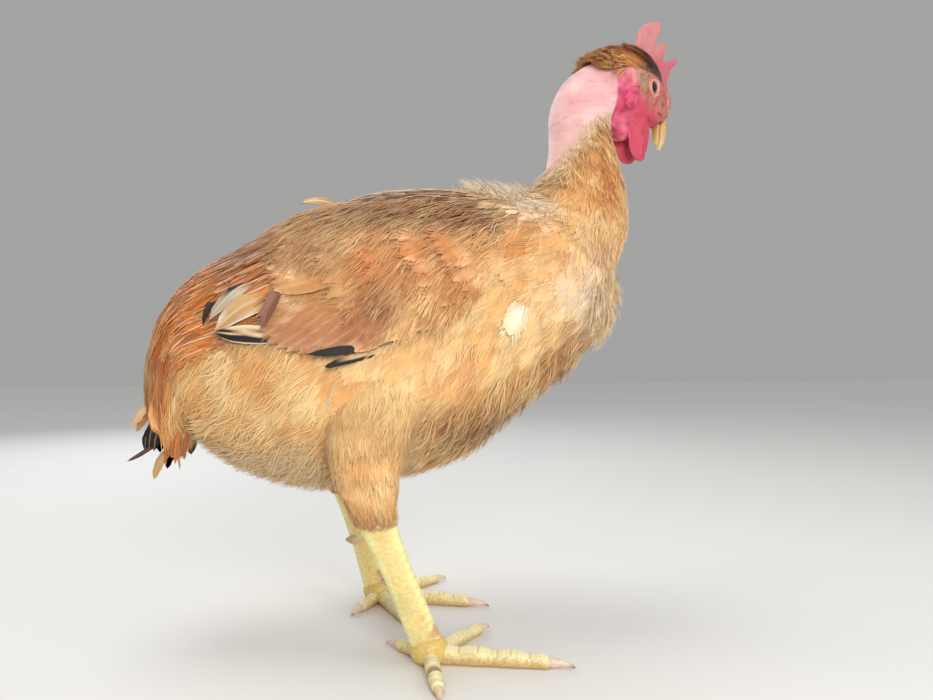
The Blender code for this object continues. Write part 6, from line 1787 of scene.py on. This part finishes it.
# the feathers that look out behind and below: root, bow point, tip (x, z), half width, lift, kind
TIPS = [((-58, 248), (-85, 243), (-106, 219), 5.6, 5.4, "grey"), ((-84, 232), (-103, 234), (-110, 216), 3.0, 5.0,
                                                                  "curl"),
        ((-52, 236), (-78, 233), (-102, 213), 8.6, 6.0, "cream"), ((-50, 213), (-76, 211), (-102, 212), 6.0, 6.8,
                                                                   "mottled"),
        ((-62, 252), (-66, 238), (-73, 214), 4.4, 7.6, "violet"), ((18, 211), (-16, 203.5), (-46, 199.5), 3.0, 7.4,
                                                                   "dark"),
        ((-2, 199), (-18, 197), (-37, 191.5), 2.7, 6.6, "edge")]


def tip_marks(kind, side):
    """Cream, grey or black by the place across (up) and along (v) the vane, as each kind asks."""
    def marks(tint, u, v, points):
        up = u * -side
        n = len(tint)
        spots = clouds(np.stack(np.broadcast_arrays(u[None] * 3.4, v[None] * 15, np.arange(n)[:, None] * 9.0), -1),
                       1.0, 6)
        black, cream = paint(34, 26, 25), paint(226, 192, 146)
        if kind == "grey":
            tone = blend(paint(206, 190, 168), paint(176, 160, 140), ease(spots, -0.4, 0.4))
            return blend(tone, black, ease(up, 0.15, 0.4) * ease(v, 0.35, 0.5) * ease(-v, -0.85, -0.75))
        if kind == "curl":
            return blend(paint(64, 36, 30), black, ease(spots, -0.3, 0.4))
        if kind == "cream":
            tone = blend(paint(206, 164, 112), paint(186, 144, 96), ease(spots, -0.4, 0.4))
            tone = blend(tone, paint(240, 226, 206), ease(-up, 0.70, 0.95) + 0 * spots)
            return blend(tone, paint(224, 214, 200), ease(v, 0.78, 0.95) * ease(up, 0.0, 0.5) + 0 * spots)
        if kind == "mottled":
            tone = blend(cream, black, ease(spots, -0.35, -0.05) * ease(-up, -0.75, -0.6))
            tone = blend(tone, black, ease(-up, 0.30, 0.40) + 0 * spots)
            tone = blend(tone, paint(240, 222, 192), np.clip(ease(-up, 0.80, 0.9) + ease(up, 0.72, 0.85), 0, 1) + 0
                         * spots)
            return blend(tone, black, 0.8 * ease(v, 0.80, 0.95) * ease(up, -0.6, 0.3) + 0 * spots)
        if kind == "violet":
            return blend(paint(152, 106, 88), paint(118, 74, 56), np.clip(ease(-up, -0.2, 0.7) + 0.5
                                                                          * ease(spots, 0, 0.4), 0, 1))
        if kind == "dark":
            return blend(np.broadcast_to(black * 1.4, spots.shape + (3,)), cream, ease(up, 0.6, 0.85)
                         * ease(-v, -0.7, -0.4) + 0 * spots)
        return blend(cream * 0.9, black, np.clip(ease(-up, -0.05, 0.25) + ease(v, 0.55, 0.8), 0, 1) + 0 * spots)
    return marks


def wing_tips(side):
    """Each of the seven feathers: a shaft through three places seen from the side, and its own marks."""
    out = []
    for k, (root, bow, tip, half, high, kind) in enumerate(TIPS):
        share = LONG[:, 0][:, None]
        root, bow, tip = (np.array(place, float) for place in (root, bow, tip))
        middle = 2 * bow - (root + tip) / 2                    # so that the curve goes through bow half way
        spots = (root * (1 - share) ** 2 + middle * 2 * share * (1 - share) + tip * share ** 2)[None]
        path, normal, place = wing_path(spots, root[None], [high], side, LONG)
        tone = np.ones((1, 3))
        out.append(vanes(path, normal, half, LONG, tone, tone, 0.3 * (kind in ("cream", "mottled")), place,
                         columns=11,
                         ragged=0.05, thick=0.3, camber=0.10, seed=200 + k, marks=tip_marks(kind, side)))
    return out


def covert_share(side):
    def keep(s, angle):
        spot = BODY.bare(s, angle)
        on = (wing_seat(spot[:, 0], spot[:, 2]) > 0.6) * (spot[:, 0] > -14)
        above = (spot[:, 2] > 262) * (spot[:, 2] < 302) * (np.abs(spot[:, 0] - 5) < 66)
        return (np.sign(wrapped(angle)) == side) * np.maximum(on, above)
    return keep


for side, word in ((-1, "right"), (1, "left")):
    chance = np.random.default_rng(120 + side)
    chunks = sum((wing_rank(side, row, chance) for row in RANKS), []) + wing_tips(side)
    s, angle = scatter(BODY, 8.0, 14.6, 5.9, 130, covert_share(side))
    seat = wing_seat(*BODY.bare(s, angle)[:, [0, 2]].T)
    for first, last in ((0, 0.5), (0.5, 0.8), (0.8, 1.01)):    # plumes in three heights, to follow the dome
        on = (seat / 6.5 >= first) & (seat / 6.5 < last)
        middle = 6.5 * (first + min(last, 1)) / 2
        chunks.append(plumes(BODY, s[on], angle[on], 22, 131 + int(first * 10), each=6, half=0.36, fan=0.22,
                             colour=lambda points, s, angle: wing_colours(points),
                             lifts=(middle + 0.8, middle + 2.8), shape=HAIR, tone_at=0.2, light=(0.96, 1.06)))
    coat_piece(f"wing_feathers_{word}", chunks, FLIGHT, [f"wing_{word}"])

# %% [markdown]
# ## Crown and ear tufts
# The only feathers on this bird's head are a cap behind the comb, dark red at the forehead and golden at its
# ragged rear, and a small pale tuft over each ear. They are narrow blades and fine barbs, swept back off the
# skull, because a cap of one solid piece would look like a hat.

# %% Cap of the crown
def crown_colours(points, s, angle):
    """Dark red along the top and over the forehead, copper behind it, golden at the rear and the lower edge."""
    x, _, z = from_head(points)
    below = np.interp(x, [-33, -20, -10, 0, 10, 24], [10, 23, 30, 33, 34, 30]) - z
    tone = blend(paint(198, 112, 48), paint(226, 156, 90), ease(clouds(points, 4, 143), -0.4, 0.4))
    tone = blend(tone, paint(178, 128, 78), 0.7 * ease(x, -8, 2) * ease(below, 9, 15))
    tone = blend(tone, paint(150, 74, 38), 0.85 * ease(-below, -9, -3))
    dark = np.clip(ease(x, -24, -10) * ease(-below, -14, -6) + ease(x, -14, -3), 0, 1)
    return blend(tone, paint(74, 22, 16), 0.95 * dark)


def crown_set(seed, count, half, rise, shape):
    """Blades from the skull towards the nape: back along it, a little out, and lower towards the rear."""
    chance = np.random.default_rng(seed)
    s = chance.uniform(0.0, 4.4, count * 4)
    angle = chance.uniform(-68, 68, count * 4)
    x, _, _ = from_head(HEAD.bare(s, angle))
    ridge = np.sqrt(np.clip(1 - ((x - 3.5) / 18.5) ** 2, 0, 1)) * np.exp(-((np.abs(angle) - 14) / 14.0) ** 2)
    start = HEAD.point(s, angle, 7.2 * ridge - 0.4)
    _, y, _ = from_head(start)
    inside = (np.abs(angle) < np.interp(s, [0, 0.9, 1.9, 2.8, 3.5, 4.4],
                                        [68, 66, 57, 46, 36, 24])) & (np.abs(y) > 2.0)
    s, angle, start, ridge = s[inside][:count], angle[inside][:count], start[inside][:count], ridge[inside][:count]
    n = len(s)
    out = unit(HEAD.normal(s, angle) + LEFT * (0.7 * np.sign(angle) * ridge)[:, None])
    length = np.interp(s, [0, 1, 2, 3, 4.4], [17, 19, 17, 13, 8]) * chance.uniform(0.75, 1.15, n)
    t = shape[:, 0][None, :, None]
    down = np.interp(s, [0, 1, 2, 3, 4.4], [0.62, 0.40, 0.18, -0.02, -0.22]) + chance.normal(0, 0.05, n)
    way = unit(-AHEAD - UP * down[:, None] + LEFT * (chance.normal(0, 0.07, n) + 0.05 * np.sign(angle))[:, None])
    height = rise * np.interp(s, [0, 1, 2, 3, 4.4], [2.2, 0.9, 0.5, 0.5, 0.4]) * chance.uniform(0.5, 1.2, n)
    path = (start[:, None] + way[:, None] * length[:, None, None] * t
            + out[:, None] * height[:, None, None] * np.sin(0.5 * math.pi * np.minimum(1, 2 * t))
            + np.array([0, 0, -1.0]) * (0.10 * length * chance.uniform(0.5, 1.5, n))[:, None, None] * t ** 2)
    inner = crown_colours(path[:, 1], s, angle) * chance.uniform(0.85, 1.15, (n, 1))
    outer = crown_colours(path[:, -1], s, angle) * chance.uniform(0.9, 1.15, (n, 1))
    place = np.stack([0.02 + 0.96 * s / 7, 0.02 + 0.96 * (angle + 180) / 360], -1)
    return vanes(path, np.broadcast_to(out[:, None], path.shape), half * chance.uniform(0.7, 1.3, n), shape, inner,
                 outer,
                 0.2 * chance.random(n), place, thick=0.2, ragged=0.25, seed=seed, soft=False)


def nape(seed, spacing, length, half, lifts, each):
    """The rear of the cap lies on the nape, so it is laid on the neck's own form."""
    s, angle = scatter(BODY, 0.02, 0.75, spacing, seed, lambda s, a: np.abs(wrapped(a)) < 66 - 22 * s, many=9000)
    return plumes(BODY, s, angle, length * (1 - 0.35 * s), seed, colour=crown_colours, each=each, fan=0.12, half=half,
                  lifts=lifts, swing=1.2, light=(0.8, 1.15), loose=0.8, shape=HAIR, tone_at=0.0, soft=False)


def hem(seed):
    """Fine down where the bib's feathers give way to bare skin."""
    s, angle = scatter(BODY, 1.0, 6.2, 3.4, seed, lambda s, a: np.abs(s - bib_line(180 - np.abs(wrapped(a)))) < 0.35)
    return plumes(BODY, s, angle, 7.5, seed, colour=plain(paint(250, 214, 180)), each=6, fan=0.7, half=0.2,
                  lifts=(-0.3, 0.9),
                  swing=2.0, loose=0.9, shape=HAIR, hue=0.1)


def ear_tuft(side, seed, count):
    """Fine pale barbs from behind the eye over the ear, back and down along the cheek."""
    chance = np.random.default_rng(seed)
    x, z = chance.normal(-1.5, 2.6, count), chance.normal(2.5, 4.6, count)
    y = side * (15.4 - 0.010 * (z - 4) ** 2)
    start = in_head(x, y, z)
    length = chance.uniform(5, 10, count)
    t = HAIR[:, 0][None, :, None]
    way = -AHEAD * 0.35 - UP * 0.8 + chance.normal(0, 0.22, (count, 3))
    out = np.broadcast_to(LEFT * side, (count, 3))
    path = start[:, None] + way[:, None] * length[:, None, None] * t + out[:, None] * (
        chance.uniform(1.0, 2.6, count))[:, None, None] * np.sin(math.pi * 0.7 * t)
    inner = blend(paint(206, 160, 122), paint(236, 204, 166), chance.random(count))
    place = np.stack([0.02 + 0.96 * (0.9 + 0 * x) / 7, 0.5 + side * 0.25 + 0.004 * z], -1)
    return vanes(path, np.broadcast_to(out[:, None], path.shape), 0.16, HAIR, inner,
                 blend(inner, paint(250, 232, 204), 0.6 + 0 * x), 0.0, place, thick=0.10, seed=seed, soft=False)


crown = [crown_set(141, 420, 1.5, 0.9, LEAF), crown_set(142, 3600, 0.26, 1.3, BARB),
         nape(144, 3.0, 16, 0.30, (-0.4, 4.4), 10), nape(145, 4.0, 14, 0.30, (0.8, 8.0), 9)]
coat_piece("crown_cap", crown, SOFT, ["crown_feathers"])
coat_piece("ear_tufts", [ear_tuft(side, 150 + side, 190) for side in (1, -1)] + [hem(152)], SOFT)

# %% [markdown]
# ## Floor
# The floor is part of the studio, not of the bird. The dressed bird may not grow past its solids by more
# than a coat's softness.

# %% Floor and finish
floor_mesh = new_mesh("floor", np.array([[-4e3, -4e3, -0.3], [4e3, -4e3, -0.3], [4e3, 4e3, -0.3], [-4e3, 4e3, -0.3]])
                      + ORIGIN, [[0, 1, 2, 3]], [])
floor = bpy.data.objects.new("floor", floor_mesh)
bpy.context.scene.collection.objects.link(floor)
PAPER, tree, shader = finish("pale paper", 0.8)
paper_noise = node(tree, "ShaderNodeTexNoise", [("Vector", node(tree, "ShaderNodeTexCoord"), "Object")])
paper_noise.inputs["Scale"].default_value = 3.0
paper = node(tree, "ShaderNodeMix", [("Factor", paper_noise, "Fac")], data_type="RGBA")
paper.inputs["A"].default_value, paper.inputs["B"].default_value = (0.78, 0.78, 0.77, 1), (0.82, 0.82, 0.81, 1)
tree.links.new(paper.outputs["Result"], shader.inputs["Base Color"])
floor_mesh.materials.append(PAPER)
